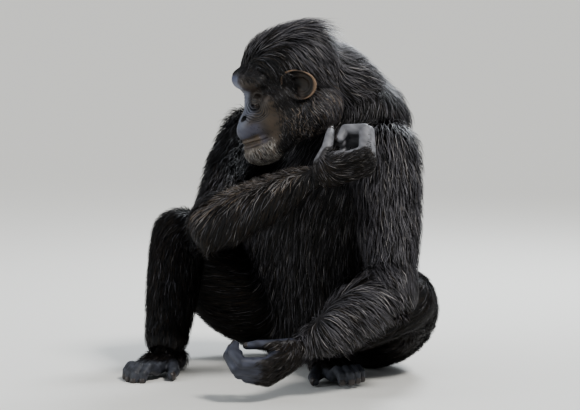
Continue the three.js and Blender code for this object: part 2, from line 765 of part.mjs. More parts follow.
// The nodes in the order in which they are cut: each gives way to those before it.
// The planes are where a node meets the next one along the limb.
const NODES = [
  ['eye_left', (grow) => eye(1, grow)],
  ['eye_right', (grow) => eye(-1, grow)],
  ['head', head],
  ['ear_left', (grow) => ear(1, grow)],
  ['ear_right', (grow) => ear(-1, grow)],
  ['hand_left', (grow) => hand(HAND_L, grow), flip(wristL)],
  ['hand_right', (grow) => hand(HAND_R, grow), flip(wristR)],
  ['forearm_left', core(forearmL, [44, 14], FOREARM_COAT, 12, 1), flip(elbowL), wristL],
  ['forearm_right', core(forearmR, [42, 14], FOREARM_COAT, 12, 1), flip(elbowR), wristR],
  ['torso', core(torso, [90, 92], BACK_COAT, 18, 1)],
  ['upper_arm_left', core(upperArmL, [70, 46], ARM_COAT, 14, 1), elbowL],
  ['upper_arm_right', core(upperArmR, [70, 44], ARM_COAT, 14, 1), elbowR],
  ['neck', core(neck, [50, 40], NECK_COAT, 14, 2)],
  ['thigh_left', limb(thighL, [60, 50]), kneeL],
  ['thigh_right', limb(thighR, [60, 56]), kneeR],
  ['shin_left', limb(shinL, [46, 26]), flip(kneeL)],
  ['shin_right', limb(shinR, [50, 32]), flip(kneeR)],
  ['foot_left', (grow) => foot(FOOT_L, grow)],
  ['foot_right', (grow) => foot(FOOT_R, grow)],
];

const COLOURS = {
  coat: { color: 0x1b1a1c, roughness: 0.75, metalness: 0 },
  face: { color: 0x57504d, roughness: 0.6, metalness: 0 },
  hand: { color: 0x55575c, roughness: 0.65, metalness: 0 },
  ear: { color: 0x6b4a35, roughness: 0.6, metalness: 0 },
  eye: { color: 0x2a1a10, roughness: 0.15, metalness: 0 },
};
const finish = Object.fromEntries(
  Object.entries(COLOURS).map(([key, look]) => [key, new THREE.MeshStandardMaterial(look)]),
);
const KIND = { head: 'face', ear: 'ear', eye: 'eye', hand: 'hand', foot: 'hand' };

// What lies below the floor is cut off, which leaves the flats that the animal rests on.
const belowFloor = behind(v(0, 0, -GAP / 2), v(0, 0, 1));

function largest(solid) {
  const pieces = solid.decompose();
  return pieces.reduce((best, piece) => (piece.volume() > best.volume() ? piece : best));
}

function toMesh(name, solid) {
  const data = solid.getMesh();
  const geometry = new THREE.BufferGeometry();
  geometry.setAttribute('position', new THREE.BufferAttribute(data.vertProperties, 3));
  geometry.setIndex(new THREE.BufferAttribute(data.triVerts, 1));
  const kind = KIND[name.split('_')[0]] ?? 'coat';
  const mesh = new THREE.Mesh(geometry, finish[kind]);
  mesh.name = name;
  return mesh;
}

// Cut by its own planes, and to the upper side of the floor.
function trimmed(solid, planes) {
  let kept = solid.subtract(belowFloor);
  for (const [point, normal] of planes) kept = kept.subtract(behind(point, normal));
  return kept;
}

const chimpanzee = new THREE.Group();
const cutters = NODES.map(([, build, ...planes]) => trimmed(build(GAP), planes));
const lockCutters = [];
const finished = [];
NODES.forEach(([name, build, ...planes], index) => {
  let solid = trimmed(build(0), planes);
  for (const other of cutters.slice(0, index)) solid = solid.subtract(other);
  const coat = coatOf(name);
  if (coat) {
    let hair = trimmed(join(coat(0)), planes);
    cutters.forEach((other, i) => {
      if (i !== index) hair = hair.subtract(other);
    });
    for (const other of lockCutters) hair = hair.subtract(other);
    for (const other of finished) hair = hair.subtract(other);
    solid = solid.add(hair);
    lockCutters.push(trimmed(join(coat(3 * GAP)), planes));
  }
  solid = largest(solid);
  finished.push(solid);
  chimpanzee.add(toMesh(name, solid));
});

export default chimpanzee;
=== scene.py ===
# A seated adult chimpanzee: one skin, eyes, nails and a coat of combed tufts.
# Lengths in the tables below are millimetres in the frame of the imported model.
import math

import bmesh
import bpy
import numpy as np
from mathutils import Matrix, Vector
from mathutils.bvhtree import BVHTree


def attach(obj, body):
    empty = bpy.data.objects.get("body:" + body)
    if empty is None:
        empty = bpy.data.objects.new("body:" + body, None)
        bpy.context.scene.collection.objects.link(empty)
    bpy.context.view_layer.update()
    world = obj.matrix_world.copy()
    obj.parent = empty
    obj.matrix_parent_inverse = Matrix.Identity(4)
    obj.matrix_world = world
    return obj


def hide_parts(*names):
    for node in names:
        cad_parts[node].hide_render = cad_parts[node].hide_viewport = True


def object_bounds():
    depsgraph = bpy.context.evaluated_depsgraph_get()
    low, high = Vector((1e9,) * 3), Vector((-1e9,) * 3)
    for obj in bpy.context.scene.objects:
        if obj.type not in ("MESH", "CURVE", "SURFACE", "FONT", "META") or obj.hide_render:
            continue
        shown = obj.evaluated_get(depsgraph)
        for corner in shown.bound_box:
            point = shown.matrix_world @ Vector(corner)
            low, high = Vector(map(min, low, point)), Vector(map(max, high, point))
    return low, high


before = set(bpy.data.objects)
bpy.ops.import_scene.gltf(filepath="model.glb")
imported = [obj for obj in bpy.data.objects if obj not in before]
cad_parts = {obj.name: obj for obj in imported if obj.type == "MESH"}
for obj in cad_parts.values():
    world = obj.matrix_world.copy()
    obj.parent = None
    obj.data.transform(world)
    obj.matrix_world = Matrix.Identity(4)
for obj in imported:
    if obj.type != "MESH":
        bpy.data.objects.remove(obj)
CAD_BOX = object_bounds()

MM = 0.001
random = np.random.default_rng(20)


def vec(*values):
    return np.array(values, dtype=float)


def unit(a):
    a = np.asarray(a, dtype=float)
    return a / np.maximum(np.linalg.norm(a, axis=-1, keepdims=True), 1e-9)


def norm(a):
    return np.linalg.norm(a, axis=-1)


def smooth(low, high, x):
    t = np.clip((x - low) / (high - low), 0.0, 1.0)
    return t * t * (3.0 - 2.0 * t)


def mix(a, b, t):
    return a + (b - a) * t


def folded(q):
    """Places with the two sides of the head laid on one."""
    return np.stack([q[..., 0], np.abs(q[..., 1]), q[..., 2]], axis=-1)


# Camera at the photograph's viewing angle.
VIEW_AZIMUTH = math.radians(32.95)
VIEW_TILT = math.radians(8.71)
VIEW_DISTANCE = 5.0
FOCAL_PIXELS = 2425.0
IMAGE_WIDTH = 580
IMAGE_CENTRE_PIXEL = (290.0, 205.0)
ORIGIN_PIXEL = (318.16, 359.61)
SENSOR = 36.0


def make_camera():
    data = bpy.data.cameras.new("camera")
    data.sensor_width = SENSOR
    data.lens = FOCAL_PIXELS * SENSOR / IMAGE_WIDTH
    camera = bpy.data.objects.new("camera", data)
    bpy.context.scene.collection.objects.link(camera)
    turn, tilt = VIEW_AZIMUTH, VIEW_TILT
    back = Vector((math.sin(turn) * math.cos(tilt), -math.cos(turn) * math.cos(tilt), math.sin(tilt)))
    right = Vector((math.cos(turn), math.sin(turn), 0.0))
    up = back.cross(right)
    camera.location = back * VIEW_DISTANCE
    aside = (IMAGE_CENTRE_PIXEL[0] - ORIGIN_PIXEL[0]) / FOCAL_PIXELS
    above = (ORIGIN_PIXEL[1] - IMAGE_CENTRE_PIXEL[1]) / FOCAL_PIXELS
    aim = right * aside + up * above - back
    camera.rotation_euler = aim.to_track_quat("-Z", "Y").to_euler()
    bpy.context.scene.camera = camera


make_camera()

# Joints of the skeleton.
HIP_L = vec(85, 0, 105)
HIP_R = vec(-85, 0, 105)
KNEE_L = vec(310, -149, 168)
KNEE_R = vec(-212, -188, 269)
ANKLE_L = vec(146, -192, 58)
ANKLE_R = vec(-157, -309, 62)
SHOULDER_L = vec(243, -145, 446)
SHOULDER_R = vec(-56, -156, 461)
ELBOW_L = vec(341, -265, 204)
ELBOW_R = vec(11, -385, 311)
WRIST_L = vec(236, -438, 90)
WRIST_R = vec(240, -360, 416)
HEAD = vec(119, -258, 587)
HEAD_YAW = math.radians(-45)
HEAD_PITCH = math.radians(27)


class Loft:
    """Oval sections along a smooth line. A station is centre, half width, front and back depth."""

    def __init__(self, stations, side):
        self.centres = np.array([s[0] for s in stations], dtype=float)
        self.sizes = np.array([s[1:] for s in stations], dtype=float)
        self.side = unit(vec(*side))
        self.length = len(stations) - 1

    def centre(self, t):
        t = float(np.clip(t, 0, self.length))
        i = min(int(t), self.length - 1)
        f = t - i
        c = self.centres
        b, d = c[i], c[i + 1]
        a = c[i - 1] if i > 0 else 2 * c[0] - c[1]
        e = c[i + 2] if i + 2 <= self.length else 2 * c[-1] - c[-2]
        ab, bd, de = (max(norm(q - p), 1e-4) ** 0.5 for p, q in ((a, b), (b, d), (d, e)))
        start = ((b - a) / ab - (d - a) / (ab + bd) + (d - b) / bd) * bd
        end = ((d - b) / bd - (e - b) / (bd + de) + (e - d) / de) * bd
        return b + start * f + (3 * (d - b) - 2 * start - end) * f**2 + (2 * (b - d) + start + end) * f**3

    def section(self, t):
        t = float(np.clip(t, 0, self.length))
        i = min(int(t), self.length - 1)
        f = t - i
        low, high = max(t - 0.01, 0), min(t + 0.01, self.length)
        along = unit(self.centre(high) - self.centre(low))
        side = unit(self.side - along * self.side.dot(along))
        front = np.cross(side, along)
        a, b, c, d = (self.sizes[min(max(i + k, 0), self.length)] for k in (-1, 0, 1, 2))
        slope = (c - a) * f + (2 * a - 5 * b + 4 * c - d) * f**2
        size = b + 0.5 * (slope + (3 * b - a - 3 * c + d) * f**3)
        return self.centre(t), along, side, front, size

    def rings(self, out, sides, steps, domes):
        angles = np.arange(sides) * 2 * math.pi / sides
        cosine, sine = np.cos(angles)[:, None], np.sin(angles)[:, None]
        rings = []

        def ring(t, shrink, shift):
            centre, along, side, front, size = self.section(t)
            depth = np.where(sine > 0, size[1], size[2]) + out
            points = side * (size[0] + out) * cosine + front * depth * sine
            rings.append(centre + points * shrink + along * shift)

        bend = [math.radians(angle) for angle in (75, 60, 45, 30, 15)]
        low, high = domes[0] + out, domes[1] + out
        for turn in bend:
            ring(0, math.cos(turn), -low * math.sin(turn))
        for i in range(self.length * steps + 1):
            ring(i / steps, 1, 0)
        for turn in reversed(bend):
            ring(self.length, math.cos(turn), high * math.sin(turn))
        first, last = self.section(0), self.section(self.length)
        return rings, first[0] - first[1] * low, last[0] + last[1] * high


def limb(a, b, sizes, side, sag=0):
    """Loft from joint a to joint b, whose two stations in between are shifted by sag."""
    places = (a, mix(a, b, 0.33) + sag, mix(a, b, 0.67) + sag, b)
    return Loft([(place, *size) for place, size in zip(places, sizes)], side)


# Each limb: loft, domes at its ends, depth of the coat, hair length, and which way the hair
# runs along it. The sizes of the stations reach out to the coat's tips.
LIMBS = {
    "torso": (Loft([
        (vec(0, 18, 50), 158, 118, 122),
        (vec(4, 2, 115), 170, 124, 130),
        (vec(18, -30, 200), 166, 124, 134),
        (vec(42, -72, 290), 168, 124, 138),
        (vec(76, -106, 380), 176, 116, 138),
        (vec(112, -112, 460), 172, 104, 128),
        (vec(142, -104, 530), 134, 96, 116),
    ], (1, 0.04, -0.05)), (90, 92), 26, 62, -1),
    "neck": (Loft([
        (vec(142, -104, 540), 94, 84, 86),
        (vec(133, -160, 586), 82, 78, 80),
        (vec(123, -216, 604), 70, 66, 70),
    ], (1, 0, 0)), (50, 40), 22, 52, -1),
    "upper_arm_left": (limb(
        SHOULDER_L, ELBOW_L, [(78, 76, 72), (76, 74, 70), (65, 66, 62), (50, 52, 52)], (1, 0.3, 0.2),
    ), (70, 46), 24, 64, 1),
    "upper_arm_right": (limb(
        SHOULDER_R, ELBOW_R, [(72, 74, 72), (72, 68, 66), (63, 60, 58), (50, 50, 50)], (1, 0.2, 0),
    ), (70, 44), 24, 62, 1),
    "forearm_left": (limb(
        ELBOW_L, WRIST_L, [(50, 50, 52), (56, 52, 58), (46, 44, 48), (31, 27, 31)], (0.6, 0.1, 0.8),
    ), (44, 14), 15, 50, -1),
    "forearm_right": (limb(
        ELBOW_R, WRIST_R, [(50, 48, 50), (50, 44, 46), (40, 36, 38), (28, 26, 28)], (0, 0.3, 1),
    ), (42, 14), 13, 46, -1),
    "thigh_left": (Loft([
        (HIP_L, 108, 104, 92),
        (mix(HIP_L, KNEE_L, 0.33) + vec(0, 10, -16), 110, 106, 104),
        (mix(HIP_L, KNEE_L, 0.67) + vec(2, 12, -16), 98, 92, 96),
        (KNEE_L, 56, 54, 56),
    ], (0, 0.5, 1)), (60, 50), 16, 42, 1),
    "thigh_right": (limb(
        HIP_R, KNEE_R, [(104, 96, 96), (108, 100, 104), (92, 88, 88), (62, 60, 58)], (1, -0.5, 0.4),
        vec(0, 0, -30),
    ), (60, 56), 16, 42, 1),
    "shin_left": (limb(
        KNEE_L, ANKLE_L, [(54, 52, 54), (58, 50, 54), (45, 38, 42), (31, 28, 30)], (0, 1, 0),
    ), (46, 26), 10, 30, 1),
    "shin_right": (limb(
        KNEE_R, ANKLE_R, [(62, 58, 56), (60, 54, 62), (57, 48, 54), (50, 38, 44)], (1, 0, 0),
    ), (50, 32), 13, 34, 1),
}

# Head axes: forward, to the animal's left, up.
FACE = vec(
    math.sin(HEAD_YAW) * math.cos(HEAD_PITCH),
    -math.cos(HEAD_YAW) * math.cos(HEAD_PITCH),
    -math.sin(HEAD_PITCH),
)
LEFT = vec(math.cos(HEAD_YAW), math.sin(HEAD_YAW), 0)
CROWN = np.cross(FACE, LEFT)
HEAD_AXES = np.array([FACE, LEFT, CROWN])


def on_head(local):
    return HEAD + np.asarray(local, dtype=float) @ HEAD_AXES


def in_head(points):
    return (points - HEAD) @ HEAD_AXES.T


def oval(p, centre, radii):
    """Distance to an oval, near enough close to it."""
    q = (p - vec(*centre)) / vec(*radii)
    k = norm(q)
    g = norm(q / vec(*radii))
    return k * (k - 1) / np.maximum(g, 1e-6)


def bar(p, a, b, ra, rb):
    """Distance to a tapered rod with round ends."""
    a = vec(*a)
    step = vec(*b) - a
    t = np.clip(((p - a) @ step) / step.dot(step), 0, 1)
    return norm(p - a - t[..., None] * step) - mix(ra, rb, t)


def blend_min(a, b, k):
    """The lesser of two distances, rounded where they meet; k is the width of the rounding."""
    h = np.clip(0.5 + 0.5 * (b - a) / k, 0, 1)
    return mix(b, a, h) - k * h * (1 - h)


# Measures of the face and of the coat on the head, in the head's own axes.
EYE_RADIUS = 11.0
EYE_AT = vec(89, 25, 1)
EYE_DOWN = math.radians(20)
GAZE = vec(math.cos(EYE_DOWN), 0, -math.sin(EYE_DOWN))
GAZE_UP = vec(math.sin(EYE_DOWN), 0, math.cos(EYE_DOWN))
LID_THICK = 2.2
SLIT_HALF = 2.6
SLIT_REACH = 11.5
NOSTRIL_AT = vec(126, 13.5, -19)
NOSTRIL_SIZE = (9, 6.2, 4.8)
MOUTH_HALF = 36.0
MOUTH_FRONT = 149.0
MOUTH_HEIGHT = -65.0
CROWN_COAT = 18.0
CHEEK_COAT = 9.0


def head_coat(q):
    """Depth of the coat on the crown and the cheeks."""
    crown = smooth(8, 58, 0.8 * q[..., 2] - 0.6 * q[..., 0] + 20)
    cheek = smooth(58, 22, q[..., 0]) * smooth(4, -32, q[..., 2])
    return np.maximum(CROWN_COAT * crown, CHEEK_COAT * cheek)


def mouth_line(count=41):
    t = np.linspace(-1, 1, count)
    turn = t * 1.25
    forward = MOUTH_FRONT - 46 * (1 - np.cos(turn))
    left = MOUTH_HALF * np.sin(t * math.pi / 2)
    return np.stack([forward, left, MOUTH_HEIGHT - 4 * t * t], axis=1)


def eye_folds(side):
    """Height of the folds round the slit of the eye, which run on down beside the nose."""
    from_eye = side - EYE_AT
    across = np.clip(from_eye[..., 1], -8, 8)
    slit = across[..., None] * vec(0, 1, 0) + GAZE * (EYE_RADIUS + LID_THICK)
    gap = norm(from_eye - slit)
    rise = from_eye @ GAZE_UP
    low = smooth(5, -4, rise) * smooth(38, 27, gap) * smooth(-22, 0, from_eye[..., 0])
    high = 0.6 * smooth(-4, 5, rise) * smooth(20, 14, gap)
    x, y, z = from_eye[..., 0], from_eye[..., 1], from_eye[..., 2]
    wobble = 1.0 * np.sin(z * 0.16 + y * 0.1) + 0.9 * np.sin(y * 0.21 - z * 0.27 + x * 0.11)
    strength = 0.66 + 0.34 * np.sin(y * 0.19 + z * 0.09 + 0.6) * np.cos(z * 0.23 - x * 0.12)
    folds = np.cos((gap - 5.5 + wobble) * 2 * math.pi / 4.8)
    return smooth(2.5, 5, gap) * (low + high) * strength * folds


# Forms that are blended one after the other into the skull: blend, kind and measures.
# They are the back of the head, cheekbone, jaw, throat, cheek, muzzle, chin, bridge, tip and
# wing of the nose, and the middle and the side of the brow.
HEAD_FORMS = [
    (16, oval, (-24, 0, 26), (54, 58, 66)),
    (20, oval, (58, 40, -10), (32, 23, 20)),
    (20, bar, (104, 20, -92), (12, 42, -62), 22, 30),
    (20, bar, (56, 0, -72), (-6, 0, -60), 34, 50),
    (18, oval, (54, 26, -44), (52, 32, 46)),
    (16, oval, (98, 0, -44), (54, 38, 34)),
    (10, oval, (114, 0, -86), (42, 35, 31)),
    (12, bar, (86, 0, 28), (107, 0, -12), 14, 13),
    (8, oval, (112, 0, -20), (16, 18, 10)),
    (5, oval, (112, 12, -22), (13, 9, 8)),
    (18, bar, (96, 0, 46), (93, 30, 47), 14, 13),
    (20, bar, (93, 30, 47), (74, 52, 36), 13, 10),
]


def head_form(q):
    """Distance to the skull and face without their small features, x forward, z up."""
    q = folded(q)
    d = oval(q, (20, 0, 36), (79, 60, 62))
    for blend, form, *measures in HEAD_FORMS:
        d = blend_min(d, form(q, *measures), blend)
    return d


def lips(q):
    """Depth of the cut between the lips less the height of their rolls, near the line of the mouth."""
    gap = np.full(len(q), 1e9)
    level = np.zeros(len(q))
    for point in mouth_line():
        offset = q - point
        distance = norm(offset)
        level = np.where(distance < gap, offset[:, 2], level)
        gap = np.minimum(gap, distance)
    inside = np.maximum(np.abs(gap**2 - level**2), 0) ** 0.5
    roll = 2.6 * np.exp(-((np.abs(level) - 4.2) / 3.0) ** 2)
    cut = 3.4 * np.exp(-(level / 1.15) ** 2)
    corner = smooth(MOUTH_HALF + 3, MOUTH_HALF - 6, np.abs(q[:, 1]))
    return smooth(16, 8, inside) * corner * (cut - roll)


def head_skin(q):
    """Distance to the skin of the head, with lids, nostrils, lips and folds."""
    d = head_form(q)
    side = folded(q)
    from_eye = side - EYE_AT
    reach = norm(from_eye)
    depth = from_eye @ GAZE
    rise = from_eye @ GAZE_UP
    lid = reach - (EYE_RADIUS + LID_THICK)
    # A dip around the ball, then the lids over it.
    d = d + 1.2 * np.exp(-((reach - 18) / 4.0) ** 2)
    d = blend_min(d, lid, 3.0)
    d = d - 0.75 * eye_folds(side)
    # Folds across the bridge of the nose and up the brow.
    x, y, z = side[..., 0], side[..., 1], side[..., 2]
    bridge = smooth(14, 4, y) * smooth(34, 24, z) * smooth(2, 12, z) * smooth(80, 95, x)
    d = d + 0.5 * bridge * np.sin(z * 2 * math.pi / 5.5)
    # Socket of the eyeball and the slit between the lids.
    d = np.maximum(d, EYE_RADIUS + 0.3 - reach)
    aside = np.abs(from_eye[..., 1])
    slit_half = SLIT_HALF * np.sqrt(np.clip(1 - (aside / SLIT_REACH) ** 2, 0, 1))
    slit = np.maximum(np.abs(rise) - slit_half, 2.0 - depth)
    slit = np.maximum(slit, aside - SLIT_REACH)
    d = np.maximum(d, -slit)
    # Nostrils with a raised rim.
    hole = oval(side, NOSTRIL_AT, NOSTRIL_SIZE)
    d = d - 1.6 * np.exp(-((hole - 1.5) / 2.4) ** 2)
    d = np.maximum(d, -hole)
    # Groove below the nose.
    groove = np.exp(-(y / 2.5) ** 2) * smooth(-60, -45, z) * smooth(-26, -34, z)
    d = d + 0.7 * groove * smooth(110, 130, x)
    # The lips, only where they are near.
    near = (q[..., 0] > 90) & (q[..., 2] < -40) & (q[..., 2] > -95)
    if near.any():
        d[near] += lips(q[near])
    return d


HEAD_SEED = vec(30, 0, -8)


def head_rings(around=340, rows=260):
    """Rings of points of the head's skin, read along rays from the seed, closest on the face."""
    even = np.arange(around) * 2 * math.pi / around
    angle = even - 0.5 * np.sin(even)
    share = np.linspace(0, 1, rows + 2)[1:-1]
    rise = math.pi / 2 - math.pi * (share + 0.045 * np.sin(2 * math.pi * share))
    a, r = np.meshgrid(angle, rise)
    way = np.stack([np.cos(r) * np.cos(a), np.cos(r) * np.sin(a), np.sin(r)], axis=-1).reshape(-1, 3)
    way = np.concatenate([way, [vec(0, 0, 1), vec(0, 0, -1)]])
    # Each ray comes in from outside in steps until the next one would enter the head, and the
    # step is then halved until it lands on the skin.
    reach = np.full(len(way), 190.0)
    active = np.ones(len(way), dtype=bool)
    step = 2.0
    while active.any() and reach[active].min() > 10:
        q = HEAD_SEED + way[active] * (reach[active] - step)[:, None]
        d = head_skin(q)
        out = d > 0
        jump = np.where(d > 14, d * 0.55, step)
        index = np.flatnonzero(active)
        reach[index[out]] -= jump[out]
        active[index[~out]] = False
    for _ in range(7):
        step /= 2
        q = HEAD_SEED + way * (reach - step)[:, None]
        reach -= np.where(head_skin(q) > 0, step, 0)
    points = on_head(HEAD_SEED + way * reach[:, None])
    grid = points[:-2].reshape(rows, around, 3)
    return list(grid), points[-2], points[-1]


def new_object(name, vertices, faces):
    mesh = bpy.data.meshes.new(name)
    mesh.from_pydata(np.asarray(vertices, dtype=float).tolist(), [], faces)
    mesh.update()
    piece = bpy.data.objects.new(name, mesh)
    bpy.context.scene.collection.objects.link(piece)
    return piece


def ring_mesh(rings, first, last):
    """Vertices and faces of a closed skin over rings of equal size."""
    sides = len(rings[0])
    vertices = np.concatenate([[first]] + [np.asarray(r) for r in rings] + [[last]])
    faces = []
    end = len(vertices) - 1
    for i in range(sides):
        j = (i + 1) % sides
        faces.append((0, 1 + j, 1 + i))
        top = 1 + (len(rings) - 1) * sides
        faces.append((end, top + i, top + j))
    for r in range(len(rings) - 1):
        base = 1 + r * sides
        for i in range(sides):
            j = (i + 1) % sides
            faces.append((base + i, base + j, base + sides + j, base + sides + i))
    # The faces are turned round if they look inwards.
    corners = np.array([vertices[list(f[:3])] for f in faces[:: max(1, len(faces) // 4000)]])
    middle = vertices.mean(axis=0)
    volume = np.einsum("ij,ij->i", np.cross(corners[:, 1] - middle, corners[:, 2] - middle),
                       corners[:, 0] - middle).sum()
    if volume < 0:
        faces = [tuple(reversed(f)) for f in faces]
    return vertices, faces


# Rings of a rod with round ends: share of its length, and degrees round the end.
CAPSULE_RINGS = [(0, -65), (0, -40), (0, -18), (0, 0), (0.5, 0), (1, 0), (1, 18), (1, 40), (1, 65)]


def capsule(a, b, ra, rb, sides=20):
    """A tapered rod with round ends."""
    along = unit(b - a)
    side = unit(np.cross(along, vec(0.31, 0.52, 0.8)))
    other = np.cross(along, side)
    angles = np.arange(sides) * 2 * math.pi / sides
    circle = np.cos(angles)[:, None] * side + np.sin(angles)[:, None] * other
    rings = []
    for t, turn in CAPSULE_RINGS:
        angle, radius = math.radians(turn), mix(ra, rb, t)
        rings.append(mix(a, b, t) + circle * radius * math.cos(angle) + along * radius * math.sin(angle))
    return ring_mesh(rings, a - along * ra, b + along * rb)


def ball(centre, axes, radii, around=24, rows=14):
    """An oval ball with its own axes."""
    rings = []
    for i in range(1, rows):
        angle = math.pi * i / rows
        turn = np.arange(around) * 2 * math.pi / around
        circle = np.cos(turn)[:, None] * axes[0] * radii[0] + np.sin(turn)[:, None] * axes[1] * radii[1]
        rings.append(centre + circle * math.sin(angle) + axes[2] * radii[2] * math.cos(angle))
    return ring_mesh(rings, centre + axes[2] * radii[2], centre - axes[2] * radii[2])


def join_meshes(parts):
    vertices, faces, start = [], [], 0
    for points, polygons in parts:
        vertices.append(points)
        faces += [tuple(i + start for i in f) for f in polygons]
        start += len(points)
    return np.concatenate(vertices), faces


def applied(piece, name):
    """The piece with its modifiers applied, as a new object."""
    graph = bpy.context.evaluated_depsgraph_get()
    mesh = bpy.data.meshes.new_from_object(piece.evaluated_get(graph))
    bpy.data.objects.remove(piece, do_unlink=True)
    result = bpy.data.objects.new(name, mesh)
    bpy.context.scene.collection.objects.link(result)
    return result


def remeshed(name, parts, voxel):
    vertices, faces = join_meshes(parts)
    piece = new_object(name, vertices * MM, faces)
    modifier = piece.modifiers.new("remesh", "REMESH")
    modifier.mode = "VOXEL"
    modifier.voxel_size = voxel * MM
    return applied(piece, name)


def read_vertices(mesh):
    data = np.empty(len(mesh.vertices) * 3, dtype=np.float32)
    mesh.vertices.foreach_get("co", data)
    return data.reshape(-1, 3).astype(float)


def write_vertices(mesh, points):
    mesh.vertices.foreach_set("co", points.astype(np.float32).ravel())
    mesh.update()


def read_edges(mesh):
    data = np.empty(len(mesh.edges) * 2, dtype=np.int32)
    mesh.edges.foreach_get("vertices", data)
    return data.reshape(-1, 2)


def neighbour_mean(values, edges):
    """Mean of each vertex's neighbours."""
    count = np.bincount(edges.ravel(), minlength=len(values))
    total = np.empty_like(values)
    for k in range(values.shape[1]):
        total[:, k] = np.bincount(edges[:, 0], weights=values[edges[:, 1], k], minlength=len(values))
        total[:, k] += np.bincount(edges[:, 1], weights=values[edges[:, 0], k], minlength=len(values))
    return total / np.maximum(count, 1)[:, None]


def smoothed(piece, rounds, strength=0.5):
    """The piece with its steps smoothed away, without shrinking."""
    points = read_vertices(piece.data)
    edges = read_edges(piece.data)
    for _ in range(rounds):
        points = mix(points, neighbour_mean(points, edges), strength)
        points = mix(points, neighbour_mean(points, edges), -strength * 0.94)
        points = mix(points, neighbour_mean(points, edges), strength * 0.3)
    write_vertices(piece.data, points)
    return piece


# Each finger: place across the hand, reach of its knuckle, lengths of its bones, and radii of
# its joints from the wrist on.
FINGERS = [
    (26, 80, (44, 31, 18), (17, 12.5, 11.5, 10.5, 9)),
    (9, 84, (50, 36, 20), (17, 13, 12, 11, 9.5)),
    (-8, 80, (47, 34, 20), (17, 12.5, 11.5, 10.5, 9)),
    (-25, 73, (38, 26, 18), (16, 11.5, 10.5, 9.5, 8)),
]
THUMB_RADII = (16, 11.5, 9.5, 7.5)


class Digits:
    """Chains of joints with a radius at each joint."""

    def rods(self):
        return [capsule(joints[i], joints[i + 1], radii[i] * 0.95, radii[i + 1] * 0.93)
                for joints, radii in self.digits for i in range(len(joints) - 1)]


class Hand(Digits):
    """Flex is in degrees at each joint, and fan adds to it from finger to finger. Reach is the
    factors for the palm and the fingers. The thumb is given by its joints."""

    def __init__(self, wrist, along, radial, way, flex, fan, reach, thumb):
        self.origin = wrist
        self.along = unit(vec(*along))
        radial = vec(*radial)
        self.across = unit(radial - self.along * radial.dot(self.along))
        self.palm = np.cross(self.along, self.across) * way
        self.hair_end = 84 * reach[0]
        self.digits = []
        for index, (spread, knuckle, bones, radii) in enumerate(FINGERS):
            joints = [self.at(4, spread * 0.5, 0), self.at(knuckle * reach[0], spread, -3)]
            bend = 0.0
            for bone, length in enumerate(bones):
                bend += math.radians(flex[bone] + fan * (index - 1.5))
                step = self.along * math.cos(bend) + self.palm * math.sin(bend)
                joints.append(joints[-1] + step * length * reach[1])
            self.digits.append((joints, radii))
        self.digits.append(([self.at(*point) for point in thumb], THUMB_RADII))

    def at(self, a, r, p):
        return self.origin + self.along * a + self.across * r + self.palm * p

    def parts(self):
        axes = (self.along, self.across, self.palm)
        pads = [((40, 0, 4), (48, 34, 13)), ((30, 20, 11), (30, 13, 12)), ((34, -22, 9), (34, 12, 11))]
        return self.rods() + [ball(self.at(*place), axes, radii) for place, radii in pads]


HANDS = {
    "hand_left": Hand(
        WRIST_L, (-0.31, -0.87, -0.38), (0.368, -0.568, 0.731), 1, (44, 66, 44), 3, (1, 1),
        ((10, 18, 6), (42, 30, 20), (62, 28, 40), (76, 22, 54))),
    "hand_right": Hand(
        WRIST_R, (0.86, 0.43, 0.31), (0.368, -0.568, 0.731), -1, (84, 80, 80), 2, (1.16, 1.25),
        ((8, 20, 8), (26, 28, 34), (34, 28, 60), (38, 24, 78))),
}

# Each of the four small toes: place across the foot, reach of its knuckle, lengths of its bones.
TOES = [
    (24, 84, (28, 20, 13)),
    (8, 88, (30, 21, 13)),
    (-8, 84, (28, 19, 12)),
    (-24, 75, (24, 16, 11)),
]
TOE_RADII = (19, 13, 10.5, 9.5, 8)
BIG_TOE = ((14, 12, 24), (46, 40, 18), (68, 56, 15), (88, 62, 11))
BIG_TOE_RADII = (18, 14.5, 12, 9.5)


class Foot(Digits):
    """The small toes rise from the knuckle by lift degrees and curl down at each joint."""

    def __init__(self, ankle, along, way, lift, curl):
        self.origin = ankle
        self.along = unit(vec(*along))
        self.across = np.cross(self.along, vec(0, 0, way))
        self.palm = vec(0, 0, -1)
        self.hair_end = 84
        self.digits = []
        for spread, reach, bones in TOES:
            joints = [self.at(6, spread * 0.5, 30), self.at(reach, spread, 19)]
            rise = math.radians(lift)
            for length in bones:
                step = self.along * math.cos(rise) + vec(0, 0, math.sin(rise))
                joints.append(joints[-1] + step * length)
                rise -= math.radians(curl)
            self.digits.append((joints, TOE_RADII))
        self.digits.append(([self.at(*point) for point in BIG_TOE], BIG_TOE_RADII))

    def at(self, a, i, z):
        point = self.origin + self.along * a + self.across * i
        return vec(point[0], point[1], z)

    def parts(self):
        heel = capsule(self.at(-34, 0, 23), self.at(14, 2, 33), 22, 24)
        return self.rods() + [heel, capsule(self.at(0, 0, 36), self.origin, 25, 24)]


FEET = {
    "foot_left": Foot(ANKLE_L, (100, -70, 0), 1, 30, 50),
    "foot_right": Foot(ANKLE_R, (10, -100, 0), -1, 16, 44),
}
ENDS = {**HANDS, **FEET}

# Ears: a thin leaf hollowed to a cup, with a rolled rim and the ridge inside.
EAR_AT = vec(14, 70, -1)
EAR_LEAN = math.radians(30)
EAR_HALF = 33.0
EAR_STEPS = 22
EAR_SIDES = 72


def ear_frame(way):
    back = vec(-math.cos(EAR_LEAN), way * math.sin(EAR_LEAN), 0)
    up = unit(vec(0.12, 0, 1))
    back = unit(back - up * back.dot(up))
    out = np.cross(back, up) * way
    return vec(EAR_AT[0], EAR_AT[1] * way, EAR_AT[2]), back, up, out


